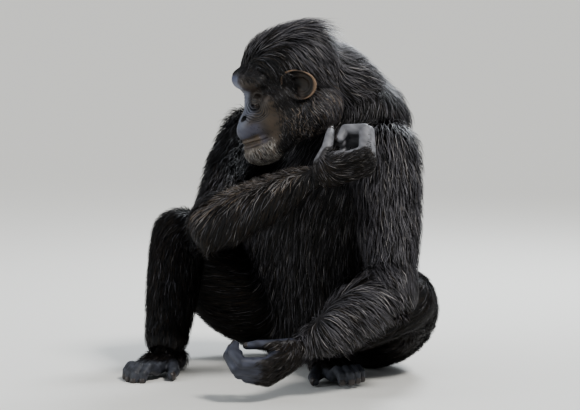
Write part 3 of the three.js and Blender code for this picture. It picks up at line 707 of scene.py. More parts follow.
def ear_leaf(x, y):
    """Height of the ear's face at a place given in shares of its half size."""
    radius = np.hypot(x, y)
    bowl = -9.5 * (1 - radius**2)
    rim = 5.0 * np.exp(-(((radius - 0.92) / 0.08) ** 2))
    ridge = np.hypot(x - 0.02, y + 0.08) - 0.56
    inner = np.where(x > -0.35, 3.0, 0.6) * np.exp(-((ridge / 0.09) ** 2))
    hole = -6.0 * np.exp(-(((x + 0.4) / 0.24) ** 2 + ((y + 0.22) / 0.26) ** 2))
    flap = 5.0 * np.exp(-(((x + 0.78) / 0.13) ** 2 + ((y + 0.16) / 0.2) ** 2))
    return bowl + rim + inner + hole + flap


def ear_mesh(way):
    centre, back, up, out = ear_frame(way)
    share = (np.arange(EAR_STEPS) + 1)[:, None] / EAR_STEPS
    angle = 2 * math.pi * np.arange(EAR_SIDES) / EAR_SIDES
    x, y = share * np.cos(angle), share * np.sin(angle)
    stretch = EAR_HALF * (1 + 0.09 * np.cos(2 * angle + 1.4) + 0.03 * np.cos(3 * angle + 0.5))
    height = ear_leaf(x, y)[..., None]
    thick = 3.4 * np.sqrt(np.maximum(1 - share**8, 0.5)) + 4 * np.maximum(0.6 - share, 0)
    front = centre + back * (x * stretch)[..., None] + up * (y * stretch)[..., None] + out * height
    rear = front - out * thick[..., None]
    first = centre + out * ear_leaf(0, 0)
    vertices, faces = ring_mesh([*front, *rear[::-1]], first, first - out * 6)
    return on_head(vertices), faces


# Mesh sizes of the skin, and how far the skin, the coat and the nails stay above the floor.
VOXEL_BODY = 4.5
VOXEL_HEAD = 1.45
VOXEL_DIGITS = 2.0
LIMB_SIDES = 48
LIMB_STEPS = 10
BODY_ABOVE_FLOOR = 0.6
DIGITS_ABOVE_FLOOR = 0.4
COAT_ABOVE_FLOOR = 0.4
NAILS_ABOVE_FLOOR = 0.3


def raised(piece, height):
    """The piece with nothing lower than height."""
    points = read_vertices(piece.data)
    points[:, 2] = np.maximum(points[:, 2], height * MM)
    write_vertices(piece.data, points)
    return piece


def in_face(q, margin):
    """Whether places on the head are by the eyes, nose or mouth, and margin inside that part."""
    fore, side, low, high = (76, 48, -84, 28)
    return ((q[:, 0] > fore + margin) & (np.abs(q[:, 1]) < side - margin)
            & (q[:, 2] > low + margin) & (q[:, 2] < high - margin))


def refine_face(piece):
    """Finer mesh round the eyes, nose and mouth, laid back on the form of the head."""
    mesh = bmesh.new()
    mesh.from_mesh(piece.data)
    q = in_head(np.array([v.co[:] for v in mesh.verts]) / MM)
    near = in_face(q, 0)
    edges = [e for e in mesh.edges if near[e.verts[0].index] and near[e.verts[1].index]]
    bmesh.ops.subdivide_edges(mesh, edges=edges, cuts=1, use_grid_fill=True)
    mesh.to_mesh(piece.data)
    mesh.free()
    points = read_vertices(piece.data)
    q = in_head(points / MM)
    near = in_face(q, 2)
    part = q[near]
    for _ in range(2):
        d = head_skin(part)
        slope = np.stack([head_skin(part + shift) - d for shift in 0.3 * np.eye(3)], axis=1)
        part = part - unit(slope) * np.clip(d, -0.7, 0.7)[:, None]
    points[near] = on_head(part) * MM
    write_vertices(piece.data, points)
    return piece


def make_skin():
    limbs = [ring_mesh(*loft.rings(-coat, LIMB_SIDES, LIMB_STEPS, domes))
             for loft, domes, coat, _, _ in LIMBS.values()]
    body = raised(smoothed(remeshed("body", limbs, VOXEL_BODY), 9, 0.6), BODY_ABOVE_FLOOR)
    head_shapes = [ring_mesh(*head_rings()), ear_mesh(1), ear_mesh(-1)]
    head = smoothed(remeshed("head_skin", head_shapes, VOXEL_HEAD), 1, 0.4)
    pieces = [refine_face(head)]
    for name, end in ENDS.items():
        digits = smoothed(remeshed(name + "_skin", end.parts(), VOXEL_DIGITS), 2, 0.6)
        pieces.append(raised(digits, DIGITS_ABOVE_FLOOR))
    for other in pieces:
        modifier = body.modifiers.new("union", "BOOLEAN")
        modifier.operation = "UNION"
        modifier.solver = "MANIFOLD"
        modifier.object = other
    skin = applied(body, "skin")
    for other in pieces:
        bpy.data.objects.remove(other, do_unlink=True)
    return skin


skin = make_skin()


def loft_place(loft, points, coat):
    """Station, angle, distance outside the skin and the loft's direction for points near a loft."""
    samples = np.linspace(0, loft.length, 12 * loft.length + 1)
    sections = [loft.section(t) for t in samples]
    best = np.full(len(points), 1e18)
    nearest = np.zeros(len(points), dtype=int)
    for j, section in enumerate(sections):
        distance = ((points - section[0]) ** 2).sum(axis=1)
        nearest = np.where(distance < best, j, nearest)
        best = np.minimum(best, distance)
    centre, along, side, front, size = (np.array(part)[nearest] for part in zip(*sections))
    offset = points - centre
    size = size - coat
    x, y, z = ((offset * way).sum(axis=1) for way in (side, front, along))
    angle = np.arctan2(y, x)
    depth = np.where(y > 0, size[:, 1], size[:, 2])
    radius = 1 / np.sqrt((np.cos(angle) / size[:, 0]) ** 2 + (np.sin(angle) / depth) ** 2)
    outside = np.sqrt(x**2 + y**2 + z**2) - radius
    return samples[nearest], angle, outside, along


def digit_distance(end, points):
    best = np.full(len(points), 1e9)
    for joints, radii in end.digits:
        for i in range(len(joints) - 1):
            best = np.minimum(best, bar(points, joints[i], joints[i + 1], radii[i], radii[i + 1]))
    return best


# How far forward hair grows on the head at each height.
EDGE_HEIGHTS = (-112, -95, -75, -50, -30, 0, 30, 50, 62, 80)
EDGE_FORWARD = (125, 106, 84, 70, 66, 72, 80, 92, 108, 130)

# Regions of the skin, each with a chart of its own on the unwrap. BLEND_REACH is the distance
# over which the hair of one passes into the next, and STEADY_WAVE is how much any hair strays.
REGIONS = list(LIMBS) + ["head"] + list(ENDS)
CHARTS_ACROSS = 4
BLEND_REACH = 7.0
STEADY_WAVE = 0.08
DOWN = vec(0, 0, -1)


def wave_noise(points, scale, seed):
    """Smooth noise in three channels, from a few sine waves; scale is its size in mm."""
    source = np.random.default_rng(seed)
    total = np.zeros((len(points), 3))
    for k in range(7):
        way = unit(source.normal(size=(3, 3)))
        phase = source.uniform(0, 6.28, 3)
        rate = 2 * math.pi / (scale * (0.6 + 0.25 * k))
        total += np.sin(points @ way.T * rate + phase)
    return total / 2.6


class Region:
    """What one region of the body would give the hair at each point of the skin."""

    def __init__(self, distance, lie, length, height, place):
        each = np.ones(len(distance))
        self.distance = distance
        self.lie = lie
        self.length = each * length
        self.height = each * height
        self.place = np.stack(place, axis=1)
        self.density = each
        self.free = each * 0
        self.wave = each * STEADY_WAVE


def limb_region(name, points, normals):
    loft, _, coat, hair, sense = LIMBS[name]
    t, angle, outside, along = loft_place(loft, points, coat)
    place = (0.04 + 0.92 * (angle / (2 * math.pi) + 0.5), 0.04 + 0.92 * t / loft.length)
    region = Region(outside, along * sense, hair, coat, place)
    if name == "torso":
        chest = smooth(0.15, 0.8, np.sin(angle))
        region.length = mix(hair, 44, chest)
        region.height = mix(coat, 16, chest)
        region.density = mix(1.0, 0.55, chest) * smooth(-0.5, 0.35, t)
    if name.startswith("shin"):
        region.length = mix(hair, 20, smooth(2.2, 3.0, t))
    if name.startswith("forearm"):
        fade = smooth(2.3, 3.0, t)
        region.length = mix(hair, 24, fade)
        region.height = mix(coat, 8, fade)
        region.lie = region.lie * mix(0.6, 0.15, fade)[:, None] + 0.9 * DOWN
        region.free = 0.75 * smooth(0.1, -0.7, normals[:, 2]) * smooth(3.0, 2.2, t)
    if name == "forearm_right":
        fringe = smooth(0.35, 0.85, normals[:, 2]) * smooth(0.2, 1.0, t)
        region.length = mix(region.length, 22, fringe)
        region.height = mix(region.height, 19, fringe)
        region.wave = region.wave + 0.35 * fringe
    if name.startswith("upper_arm"):
        region.free = 0.6 * smooth(2.3, 2.9, t)
    if name.startswith("thigh"):
        region.lie = region.lie + 0.5 * DOWN
    return region


def head_region(q, normals):
    """Hair of the crown, cheeks, chin and crest, at places in the head's own axes."""
    x, side, z = folded(q).T
    over = np.arctan2(z - HEAD_SEED[2], x - HEAD_SEED[0])
    turn = np.arctan2(q[:, 1], x - HEAD_SEED[0])
    back = np.stack([-np.sin(over), np.zeros(len(q)), np.cos(over)], axis=1)
    top = smooth(0.45, 0.85, normals @ CROWN) * smooth(-70, -40, x)
    lie = mix(vec(-0.15, 0, -1), back, top[:, None]) @ HEAD_AXES
    rise = np.arctan2(z, np.hypot(x - 30, side))
    place = (0.04 + 0.92 * (turn / (2 * math.pi) + 0.5), 0.5 + 0.45 * np.sin(rise))
    coat = head_coat(q)
    edge = np.interp(z, EDGE_HEIGHTS, EDGE_FORWARD)
    hairy = smooth(edge + 15, edge - 9, x)
    length = mix(5, mix(11, 15 + 1.5 * coat, smooth(0, 8, coat)), hairy)
    height = mix(0.6, np.maximum(coat, 2.2), hairy)
    density = mix(0.03, 1.3, hairy)
    chin = smooth(96, 110, x) * smooth(-68, -80, z)
    length = mix(length, 11, chin)
    height = mix(height, 4.5, chin)
    density = mix(density, 0.8, chin)
    whisker = smooth(18, 34, x) * smooth(84, 70, x) * smooth(-22, -38, z)
    whisker *= smooth(30, 42, side) * smooth(-100, -88, z)
    crest = smooth(94, 110, np.degrees(over)) * smooth(150, 134, np.degrees(over))
    crest *= smooth(34, 16, side) * smooth(40, 60, z)
    length = mix(length + 9 * whisker, 80, crest)
    region = Region(head_form(q), lie, length, height, place)
    region.wave = STEADY_WAVE + 0.5 * whisker
    region.free = np.maximum(0.5 * whisker, 0.93 * crest)
    # No hair grows on the ears, round the eyes, or on the nose and lips.
    for way in (1, -1):
        centre, _, _, out = ear_frame(way)
        offset = q - centre
        ear = (norm(offset) < EAR_HALF + 5) & (np.abs(offset @ out) < 15) & (region.distance > 3.0)
        density = np.where(ear, 0, density)
    density *= smooth(17, 26, norm(folded(q) - EYE_AT))
    density *= 1 - smooth(30, 16, side) * smooth(92, 104, x) * smooth(-56, -46, z)
    density *= 1 - smooth(118, 128, x) * smooth(-54, -58, z) * smooth(-76, -72, z)
    region.density = density
    return region


def end_region(end, points, normals):
    """Hair on the back of a hand or foot, which stops where its bare part starts."""
    offset = points - end.origin
    reach = offset @ end.along
    lie = mix(0.5 * end.along + DOWN, end.along, smooth(0, 40, reach)[:, None])
    place = (0.5 + 0.45 * np.clip(offset @ end.across / 70, -1, 1),
             0.5 + 0.45 * np.clip((reach - 60) / 110, -1, 1))
    region = Region(digit_distance(end, points), lie, mix(22, 9, smooth(20, 90, reach)),
                    mix(7, 2.5, smooth(10, 80, reach)), place)
    bare = end.hair_end
    region.density = smooth(-0.05, 0.35, normals @ (-end.palm)) * smooth(bare + 16, bare - 8, reach) * 1.3
    region.density *= smooth(32, 16, offset @ end.palm)
    return region


def field_on_skin(mesh):
    """Lie and measures of the hair, region and place on the unwrap at each vertex."""
    points = read_vertices(mesh) / MM
    normals = np.empty(len(points) * 3, dtype=np.float32)
    mesh.vertices.foreach_get("normal", normals)
    normals = normals.reshape(-1, 3).astype(float)
    q = in_head(points)
    regions = [limb_region(name, points, normals) for name in LIMBS]
    regions.append(head_region(q, normals))
    regions += [end_region(end, points, normals) for end in ENDS.values()]

    def stacked(key):
        return np.array([getattr(region, key) for region in regions])

    distance = stacked("distance")
    best = distance.argmin(axis=0)
    weight = np.exp(-np.maximum(distance - distance.min(axis=0), 0) / BLEND_REACH)
    weight /= weight.sum(axis=0)
    lie = np.einsum("rn,rnk->nk", weight, stacked("lie"))
    keys = ("length", "height", "density", "free", "wave")
    values = np.stack([(weight * stacked(key)).sum(axis=0) for key in keys], axis=1)
    edges = read_edges(mesh)
    for _ in range(14):
        lie = mix(lie, neighbour_mean(lie, edges), 0.7)
        lie -= normals * (lie * normals).sum(axis=1)[:, None]
        lie = unit(lie)
    for _ in range(4):
        values = mix(values, neighbour_mean(values, edges), 0.5)
    cell = np.stack([best % CHARTS_ACROSS, best // CHARTS_ACROSS], axis=1)
    own = stacked("place")[best, np.arange(len(points))]
    unwrap = (cell + own) / vec(CHARTS_ACROSS, math.ceil(len(REGIONS) / CHARTS_ACROSS))
    return {"points": points, "normals": normals, "head": q, "lie": lie, "region": best,
            "unwrap": unwrap, **dict(zip(keys, values.T))}


FIELD = field_on_skin(skin.data)

TUFTS = 137000
PIECE_TUFTS = 19000
TUFT_STEPS = (0.0, 0.36, 0.72, 1.0)
TUFT_HEIGHTS = (-0.06, 0.5, 0.86, 1.0)
TUFT_WIDTHS = (0.75, 1.0, 0.62)
UV_PATCH = 0.003
COVER_POWER = 0.55
NEAR_WAVES = 26
WIDE_WAVES = 75
SAG = 0.22
HOLD_REACH = 16.0

# Colours of hair: linear red, green and blue.
BLACK = vec(0.0066, 0.0060, 0.0066)
BROWN = vec(0.020, 0.0135, 0.0085)
# Silver strands are painted sheen: the glint of light on the glossy black coat.
SILVER_SHEEN = vec(0.084, 0.080, 0.088)
GREY = vec(0.22, 0.205, 0.200)
WHITE = vec(0.36, 0.34, 0.31)
STRAW = vec(0.180, 0.140, 0.108)
PALETTE = np.array([WHITE, STRAW, GREY, SILVER_SHEEN, BROWN, BLACK])

# Shares of silver strands (painted sheen), brown and grey strands in each region.
TONES = {
    "torso": (0.30, 0.10, 0.020), "neck": (0.50, 0.05, 0.050),
    "upper_arm_left": (0.50, 0.07, 0.060), "upper_arm_right": (0.10, 0.14, 0.004),
    "forearm_left": (0.44, 0.16, 0.060), "forearm_right": (0.08, 0.34, 0.010),
    "thigh_left": (0.12, 0.30, 0.004), "thigh_right": (0.05, 0.36, 0.002),
    "shin_left": (0.12, 0.30, 0.004), "shin_right": (0.05, 0.36, 0.002),
    "head": (0.10, 0.16, 0.010), "hand_left": (0.08, 0.50, 0.02), "hand_right": (0.14, 0.40, 0.05),
    "foot_left": (0.05, 0.45, 0.01), "foot_right": (0.05, 0.45, 0.01),
}

LOCK_SPACING = 10.0
LOCK_REACH = 70.0


def lock_phase(roots, across, lie):
    """Phase across the lie that gathers neighbouring tufts into locks."""
    bend = 1.4 * np.sin((roots * lie).sum(axis=1) * 2 * math.pi / LOCK_REACH)
    bend += 2.2 * wave_noise(roots, 60, 8)[:, 0]
    return (roots * across).sum(axis=1) * 2 * math.pi / LOCK_SPACING + bend


def hair_colours(index, crest, count):
    """Colour of each tuft from its region, with more silver strands of painted sheen along the crests of
    locks and on tufts facing up.
    """
    region = np.array(REGIONS, dtype=object)[FIELD["region"][index]]
    x, _, z = FIELD["head"][index].T
    normal = FIELD["normals"][index]
    lot = random.random(count)
    shade = random.random(count)
    shares = np.array([TONES[name] for name in region], dtype=float)
    sheen_share, brown, grey = shares.T.copy()
    straw = np.zeros(count)
    white = np.zeros(count)
    here = region == "head"
    # Painted sheen: more silver strands on the nape and along the top of the head.
    nape = smooth(20, -20, x) * here
    sheen_share += 0.42 * nape
    grey += 0.05 * nape
    ridge = smooth(68, 92, z) * here
    sheen_share += 0.26 * ridge
    grey += 0.10 * ridge
    cheek = smooth(80, 60, x) * smooth(-22, -40, z) * here
    straw += 0.10 * cheek
    grey += 0.08 * cheek
    chin = smooth(92, 108, x) * smooth(-50, -68, z) * here
    white += 0.45 * chin
    straw += 0.15 * chin
    fringe = (region == "forearm_right") * smooth(0.3, 0.8, normal[:, 2])
    grey += 0.26 * fringe
    straw += 0.16 * fringe
    # Painted highlight: silver strands gather on the crests of locks and on tufts facing up, where the light
    # falls.
    sheen_share *= 0.35 + 1.3 * smooth(-0.4, 0.8, crest)
    sheen_share *= 0.75 + 0.5 * smooth(-0.2, 0.6, normal[:, 2])
    ends = np.cumsum(np.stack([white, straw, grey, sheen_share, brown], axis=1), axis=1)
    chosen = (lot[:, None] >= ends).sum(axis=1)
    black = chosen == 5
    brightness = np.where(black, 0.6, 0.45) + np.where(black, 0.9, 0.8) * shade
    return PALETTE[chosen] * brightness[:, None]


def soft_limit(values, low, high, ease=9.0):
    """Values eased off before the two limits so that none passes them."""
    start = high - ease
    values = np.where(values > start, start + ease * (1 - np.exp(-(values - start) / ease)), values)
    start = low + ease
    return np.where(values < start, start - ease * (1 - np.exp(-(start - values) / ease)), values)


def make_coat(mesh):
    """Points, colours, places on the unwrap and regions of all tufts, combed along the skin."""
    mesh.calc_loop_triangles()
    triangles = np.empty(len(mesh.loop_triangles) * 3, dtype=np.int32)
    mesh.loop_triangles.foreach_get("vertices", triangles)
    triangles = triangles.reshape(-1, 3)
    points = FIELD["points"]
    a, b, c = (points[triangles[:, k]] for k in range(3))
    area = 0.5 * norm(np.cross(b - a, c - a))
    density = FIELD["density"][triangles].mean(axis=1)
    length = FIELD["length"][triangles].mean(axis=1)
    # Long hair covers more skin, so it needs fewer roots, and none grow where the body rests.
    need = area * density * (30.0 / np.maximum(length, 8)) ** COVER_POWER
    need *= smooth(2, 9, points[triangles].mean(axis=1)[:, 2])
    face = random.choice(len(triangles), size=TUFTS, p=need / need.sum())
    face.sort()
    u, v = random.random(TUFTS), random.random(TUFTS)
    over = u + v > 1
    u, v = np.where(over, 1 - u, u), np.where(over, 1 - v, v)
    corner = triangles[face]
    w = np.stack([1 - u - v, u, v], axis=1)

    def at(key):
        values = FIELD[key][corner]
        if values.ndim == 2:
            return (values * w).sum(axis=1)
        return (values * w[:, :, None]).sum(axis=1)

    roots = at("points")
    vertex = corner[np.arange(TUFTS), w.argmax(axis=1)]
    free = at("free")[:, None]
    wave = at("wave")[:, None]
    near = wave_noise(roots, NEAR_WAVES, 6)
    wide = wave_noise(roots, WIDE_WAVES, 7)
    hair = at("length") * random.uniform(0.72, 1.22, TUFTS) * (1 + 0.12 * near[:, 0])
    smooth_lie = unit(at("lie"))
    lie = unit(smooth_lie + 0.10 * near + 0.10 * wide + 0.07 * random.normal(size=(TUFTS, 3)))
    normal = unit(at("normals"))
    across = unit(np.cross(normal, smooth_lie))
    phase = lock_phase(roots, across, smooth_lie)
    crest = np.cos(phase)
    tree = BVHTree.FromPolygons(points.tolist(), triangles.tolist())
    places, normals = [roots], [normal]
    current, tangent = roots, lie
    for k in range(1, 4):
        step = (TUFT_STEPS[k] - TUFT_STEPS[k - 1]) * hair
        flat = tangent - normals[-1] * (tangent * normals[-1]).sum(axis=1)[:, None]
        if k > 1:
            flat = mix(flat, tangent + SAG * DOWN, free)
        tangent = unit(flat)
        ahead = current + tangent * step[:, None]
        found = [tree.find_nearest(p) for p in ahead.tolist()]
        spot = np.array([f[0] for f in found])
        facing = np.array([f[1] for f in found])
        hit = np.array([f[2] for f in found])
        drop = norm(ahead - spot)
        inside = ((ahead - spot) * facing).sum(axis=1) < 0
        # Hair that runs off an edge keeps its way and only sags a little towards the skin.
        hold = np.clip(1 - drop / HOLD_REACH, 0.45, 1.0)[:, None] * (1 - free)
        hold = np.where(inside[:, None], 1.0, hold)
        current = mix(ahead, spot, hold)
        normals.append(unit(mix(normals[-1], facing, hold * 0.8)))
        places.append(current)
        local = FIELD["lie"][triangles[hit, 0]]
        tangent = unit(0.7 * tangent + 0.3 * hold * local + wave * random.normal(size=(TUFTS, 3)))
    # Tips gather towards the middle of their lock, and the locks stand a little proud.
    reach = np.interp(at("length"), (12, 40), (0.15, 1.0))
    gather = -np.sin(phase) * LOCK_SPACING / (2 * math.pi) * 0.75 * reach
    lift = at("height") * random.uniform(0.5, 0.95, TUFTS) + 1.8 * crest * reach
    rings = []
    for k in range(4):
        rise = np.maximum(TUFT_HEIGHTS[k] * lift, 0.5) if k else np.full(TUFTS, -1.2)
        move = across * (gather * TUFT_STEPS[k])[:, None]
        rings.append(places[k] + normals[k] * rise[:, None] + move)
    width = np.interp(at("length"), (6, 20, 60), (0.55, 0.95, 1.75)) * random.uniform(0.7, 1.3, TUFTS)
    vertices = np.zeros((TUFTS, 10, 3))
    for k in range(3):
        onward = unit(rings[k + 1] - rings[k])
        sideways = unit(np.cross(normals[k], onward))
        half = (width * TUFT_WIDTHS[k] * 0.5)[:, None]
        vertices[:, 3 * k] = rings[k] - sideways * half
        vertices[:, 3 * k + 1] = rings[k] + normals[k] * half * 0.6
        vertices[:, 3 * k + 2] = rings[k] + sideways * half
    vertices[:, 9] = rings[3]
    # Tufts ease off before the sides and the top of the solids' box, and are cut at the floor.
    for axis in range(3):
        low, high = (CAD_BOX[end][axis] / MM for end in (0, 1))
        floor = axis == 2
        vertices[:, :, axis] = soft_limit(vertices[:, :, axis], low - 9 if floor else low + 0.5, high - 0.5)
    vertices[:, :, 2] = np.maximum(vertices[:, :, 2], COAT_ABOVE_FLOOR)
    colours = hair_colours(vertex, crest, TUFTS)
    return vertices * MM, colours, FIELD["unwrap"][vertex], FIELD["region"][vertex]


TUFT_FACES = [(0, 1, 4, 3), (1, 2, 5, 4), (3, 4, 7, 6), (4, 5, 8, 7), (6, 7, 9), (7, 8, 9)]
TUFT_PLACES = np.array([
    (0.0, 0.0), (0.5, 0.0), (1.0, 0.0), (0.0, 0.4), (0.5, 0.4), (1.0, 0.4),
    (0.1, 0.75), (0.5, 0.75), (0.9, 0.75), (0.5, 1.0),
])
TUFT_SHADE = np.repeat((0.55, 0.95, 1.2, 1.3), (3, 3, 3, 1))


def build_tufts(name, material, vertices, colours, unwrap):
    """One piece of the coat, made of tufts of ten points each."""
    count = len(vertices)
    mesh = bpy.data.meshes.new(name)
    sizes = np.array([len(f) for f in TUFT_FACES])
    flat = np.concatenate([np.array(f) for f in TUFT_FACES])
    loops = (flat[None, :] + 10 * np.arange(count)[:, None]).ravel()
    totals = np.tile(sizes, count)
    mesh.vertices.add(count * 10)
    mesh.vertices.foreach_set("co", vertices.astype(np.float32).ravel())
    mesh.loops.add(len(loops))
    mesh.loops.foreach_set("vertex_index", loops.astype(np.int32))
    mesh.polygons.add(len(totals))
    starts = np.concatenate([[0], np.cumsum(totals)[:-1]])
    mesh.polygons.foreach_set("loop_start", starts.astype(np.int32))
    mesh.polygons.foreach_set("loop_total", totals.astype(np.int32))
    mesh.update(calc_edges=True)
    set_tint(mesh, (colours[:, None, :] * TUFT_SHADE[None, :, None]).reshape(-1, 3))
    layer = mesh.uv_layers.new(name="OFBake")
    patch = unwrap[:, None, :] + (TUFT_PLACES[None] - 0.5) * UV_PATCH
    uv = patch.reshape(-1, 2)[loops]
    layer.data.foreach_set("uv", uv.astype(np.float32).ravel())
    dress(mesh, material)
    piece = bpy.data.objects.new(name, mesh)
    bpy.context.scene.collection.objects.link(piece)
    return piece


def principled(name, roughness, colour=None, **inputs):
    """Material with one shader, which reads the tint of the mesh where no colour is given."""
    material = bpy.data.materials.new(name)
    material.use_nodes = True
    tree = material.node_tree
    shader = tree.nodes["Principled BSDF"]
    shader.inputs["Roughness"].default_value = roughness
    for key, value in inputs.items():
        shader.inputs[key.replace("_", " ")].default_value = value
    if colour:
        shader.inputs["Base Color"].default_value = (*colour, 1)
    else:
        tint = tree.nodes.new("ShaderNodeAttribute")
        tint.attribute_name = "tint"
        tree.links.new(tint.outputs["Color"], shader.inputs["Base Color"])
    return material


def set_tint(mesh, colours):
    values = np.ones((len(mesh.vertices), 4), dtype=np.float32)
    values[:, :3] = colours
    tint = mesh.attributes.new("tint", "FLOAT_COLOR", "POINT")
    tint.data.foreach_set("color", values.ravel())


def dress(mesh, material):
    mesh.materials.clear()
    mesh.materials.append(material)
    mesh.polygons.foreach_set("use_smooth", np.ones(len(mesh.polygons), dtype=bool))


# Colours of bare skin.
SKIN_DARK = vec(0.020, 0.018, 0.019)
SKIN_BLUE = vec(0.062, 0.072, 0.122)
# The nose's lighter blue-grey is partly its own skin and partly painted light from the sky.
NOSE_SKIN_SKYLIT = vec(0.125, 0.132, 0.165)
SKIN_BROWN = vec(0.046, 0.035, 0.028)
SKIN_CHEEK = vec(0.054, 0.038, 0.025)
SKIN_TAN = vec(0.200, 0.175, 0.145)
SKIN_LIP = vec(0.072, 0.053, 0.037)
# Painted highlight on the upper rim of each ear.
EAR_RIM_HIGHLIGHT = vec(0.200, 0.135, 0.090)
SKIN_EAR = vec(0.020, 0.0135, 0.009)
# Painted shade for the bowl, hole and groove of each ear.
EAR_BOWL_SHADE = vec(0.004, 0.003, 0.0024)
# Skin of the hands and feet: the right hand's light grey is painted light and the left hand's dark blue-grey
# is painted shade; the feet have their own dark skin.
END_SKIN_AND_HAND_LIGHT = {
    "hand_left": vec(0.046, 0.049, 0.068), "hand_right": vec(0.170, 0.168, 0.180),
    "foot_left": vec(0.036, 0.038, 0.047), "foot_right": vec(0.036, 0.038, 0.047),
}
# Painted shade for creases, folds and nostrils.
CREASE_AND_HOLE_SHADE = vec(0.012, 0.012, 0.015)

# Colours of the eyes, and the nails' grid and thickness.
EYE_WHITE = vec(0.020, 0.013, 0.010)
EYE_IRIS = vec(0.050, 0.020, 0.007)
EYE_RIM = vec(0.02, 0.01, 0.008)
EYE_PUPIL = vec(0.003, 0.003, 0.003)
NAIL_ROWS = 8
NAIL_COLUMNS = 9
NAIL_THICK = 1.3


def digit_crease_shade(end, points):
    """Share of painted crease shade at each point, at the joints of the digits."""
    total = np.zeros(len(points))
    for joints, radii in end.digits:
        for i in range(2, len(joints) - 1):
            offset = points - joints[i]
            depth = offset @ unit(joints[i + 1] - joints[i - 1])
            near = smooth(radii[i] * 1.5, radii[i] * 1.1, norm(offset))
            for shift in (-2.6, 0.0, 2.6):
                total = np.maximum(total, near * np.exp(-(((depth - shift) / 0.7) ** 2)))
    return total


def skin_colours():
    """Colour of the skin at each vertex, with painted shade in creases, nostrils, ear bowls, round the eyes
    and on the left hand, and painted light on the ear rims, nose and right hand.
    """
    q = FIELD["head"]
    region = FIELD["region"]
    points = FIELD["points"]
    one_side = folded(q)
    x, side, z = one_side.T
    colour = np.tile(SKIN_DARK, (len(q), 1))
    blotch = wave_noise(points, 14, 9)

    def paint(value, share):
        colour[:] = mix(colour, value, np.clip(share, 0, 1)[:, None])

    head = region == REGIONS.index("head")
    edge = np.interp(z, EDGE_HEIGHTS, EDGE_FORWARD)
    face = head * smooth(edge - 14, edge + 6, x)
    paint(SKIN_BROWN, face)
    cheek = smooth(106, 90, x) * smooth(10, -14, z)
    paint(SKIN_CHEEK, face * cheek * (0.8 + 0.3 * blotch[:, 0]))
    brow = smooth(86, 98, x) * smooth(28, 38, z) * smooth(44, 22, side)
    paint(SKIN_BLUE, face * brow)
    # The nose is painted lighter: partly its own skin, partly painted sky light.
    nose = smooth(32, 14, side) * smooth(90, 102, x) * smooth(-62, -50, z)
    paint(NOSE_SKIN_SKYLIT, face * nose * smooth(36, 24, z))
    muzzle = smooth(100, 122, x) * smooth(-26, -38, z)
    paint(mix(SKIN_BLUE, SKIN_BROWN, 0.45), face * muzzle * 0.85)
    lip = smooth(112, 126, x) * smooth(-50, -56, z) * smooth(-84, -76, z)
    paint(SKIN_LIP, face * lip * (0.9 + 0.2 * blotch[:, 1]))
    chin = smooth(90, 108, x) * smooth(-72, -80, z)
    paint(SKIN_TAN, face * chin * (0.65 + 0.3 * blotch[:, 2]))
    from_eye = norm(one_side - EYE_AT)
    # Darker brown round each eye: partly the skin's own brown, partly painted shade in the socket below the
    # brow.
    paint(SKIN_BROWN * 0.75, head * smooth(26, 15, from_eye))
    # Painted shade in the folds round the eyes and inside the nostrils.
    paint(CREASE_AND_HOLE_SHADE * 0.7, head * smooth(0.05, -0.5, eye_folds(one_side)) * smooth(52, 40, from_eye) * 0.9)
    paint(CREASE_AND_HOLE_SHADE * 0.3, head * smooth(3.5, -0.5, oval(one_side, NOSTRIL_AT, NOSTRIL_SIZE)))
    for way in (1, -1):
        centre, back, up, out = ear_frame(way)
        offset = q - centre
        x, y = offset @ back / EAR_HALF, offset @ up / EAR_HALF
        reach = np.hypot(x, y)
        within = smooth(1.25, 1.15, reach)
        ear = head * (head_form(q) > 2.0) * (np.abs(offset @ out) < 16) * within
        paint(SKIN_EAR, ear)
        # Painted shade in the bowl, the hole and the groove inside the rim of the ear.
        paint(EAR_BOWL_SHADE, ear * smooth(0.30, 0.05, np.hypot(x + 0.30, y - 0.28) - 0.25))
        paint(EAR_BOWL_SHADE, ear * smooth(0.22, 0.02, np.hypot(x + 0.1, y + 0.05) - 0.1) * 0.8)
        paint(EAR_BOWL_SHADE, ear * smooth(0.07, 0.02, np.abs(reach - 0.74)) * 0.8)
        # Painted highlight along the upper back part of the ear's rim.
        paint(EAR_RIM_HIGHLIGHT, ear * smooth(0.84, 0.92, reach) * smooth(-0.9, -0.2, x + 0.8 * y + 0.3))
        paint(SKIN_BROWN, ear * smooth(0.5, 0.25, np.hypot(x + 0.45, y + 0.55)))
    hairy = smooth(0.05, 0.45, FIELD["density"])
    for name, end in ENDS.items():
        here = (region == REGIONS.index(name)) * 1.0
        uneven, lift, depth, dark = (0.14, 2, 0.4, 1.4) if name in HANDS else (0.2, 1, 0.5, 1)
        # Skin of each hand or foot, with painted light on the right hand and painted shade on the left.
        paint(END_SKIN_AND_HAND_LIGHT[name] * (1 + uneven * blotch[:, :1]), here)
        # Painted shade in the creases at the joints of the digits.
        paint(CREASE_AND_HOLE_SHADE * lift, here * digit_crease_shade(end, points) * depth)
        paint(SKIN_DARK * dark, here * hairy)
    colour = colour * (1 + 0.10 * blotch[:, :1])
    return np.clip(colour, 0.003, 1)


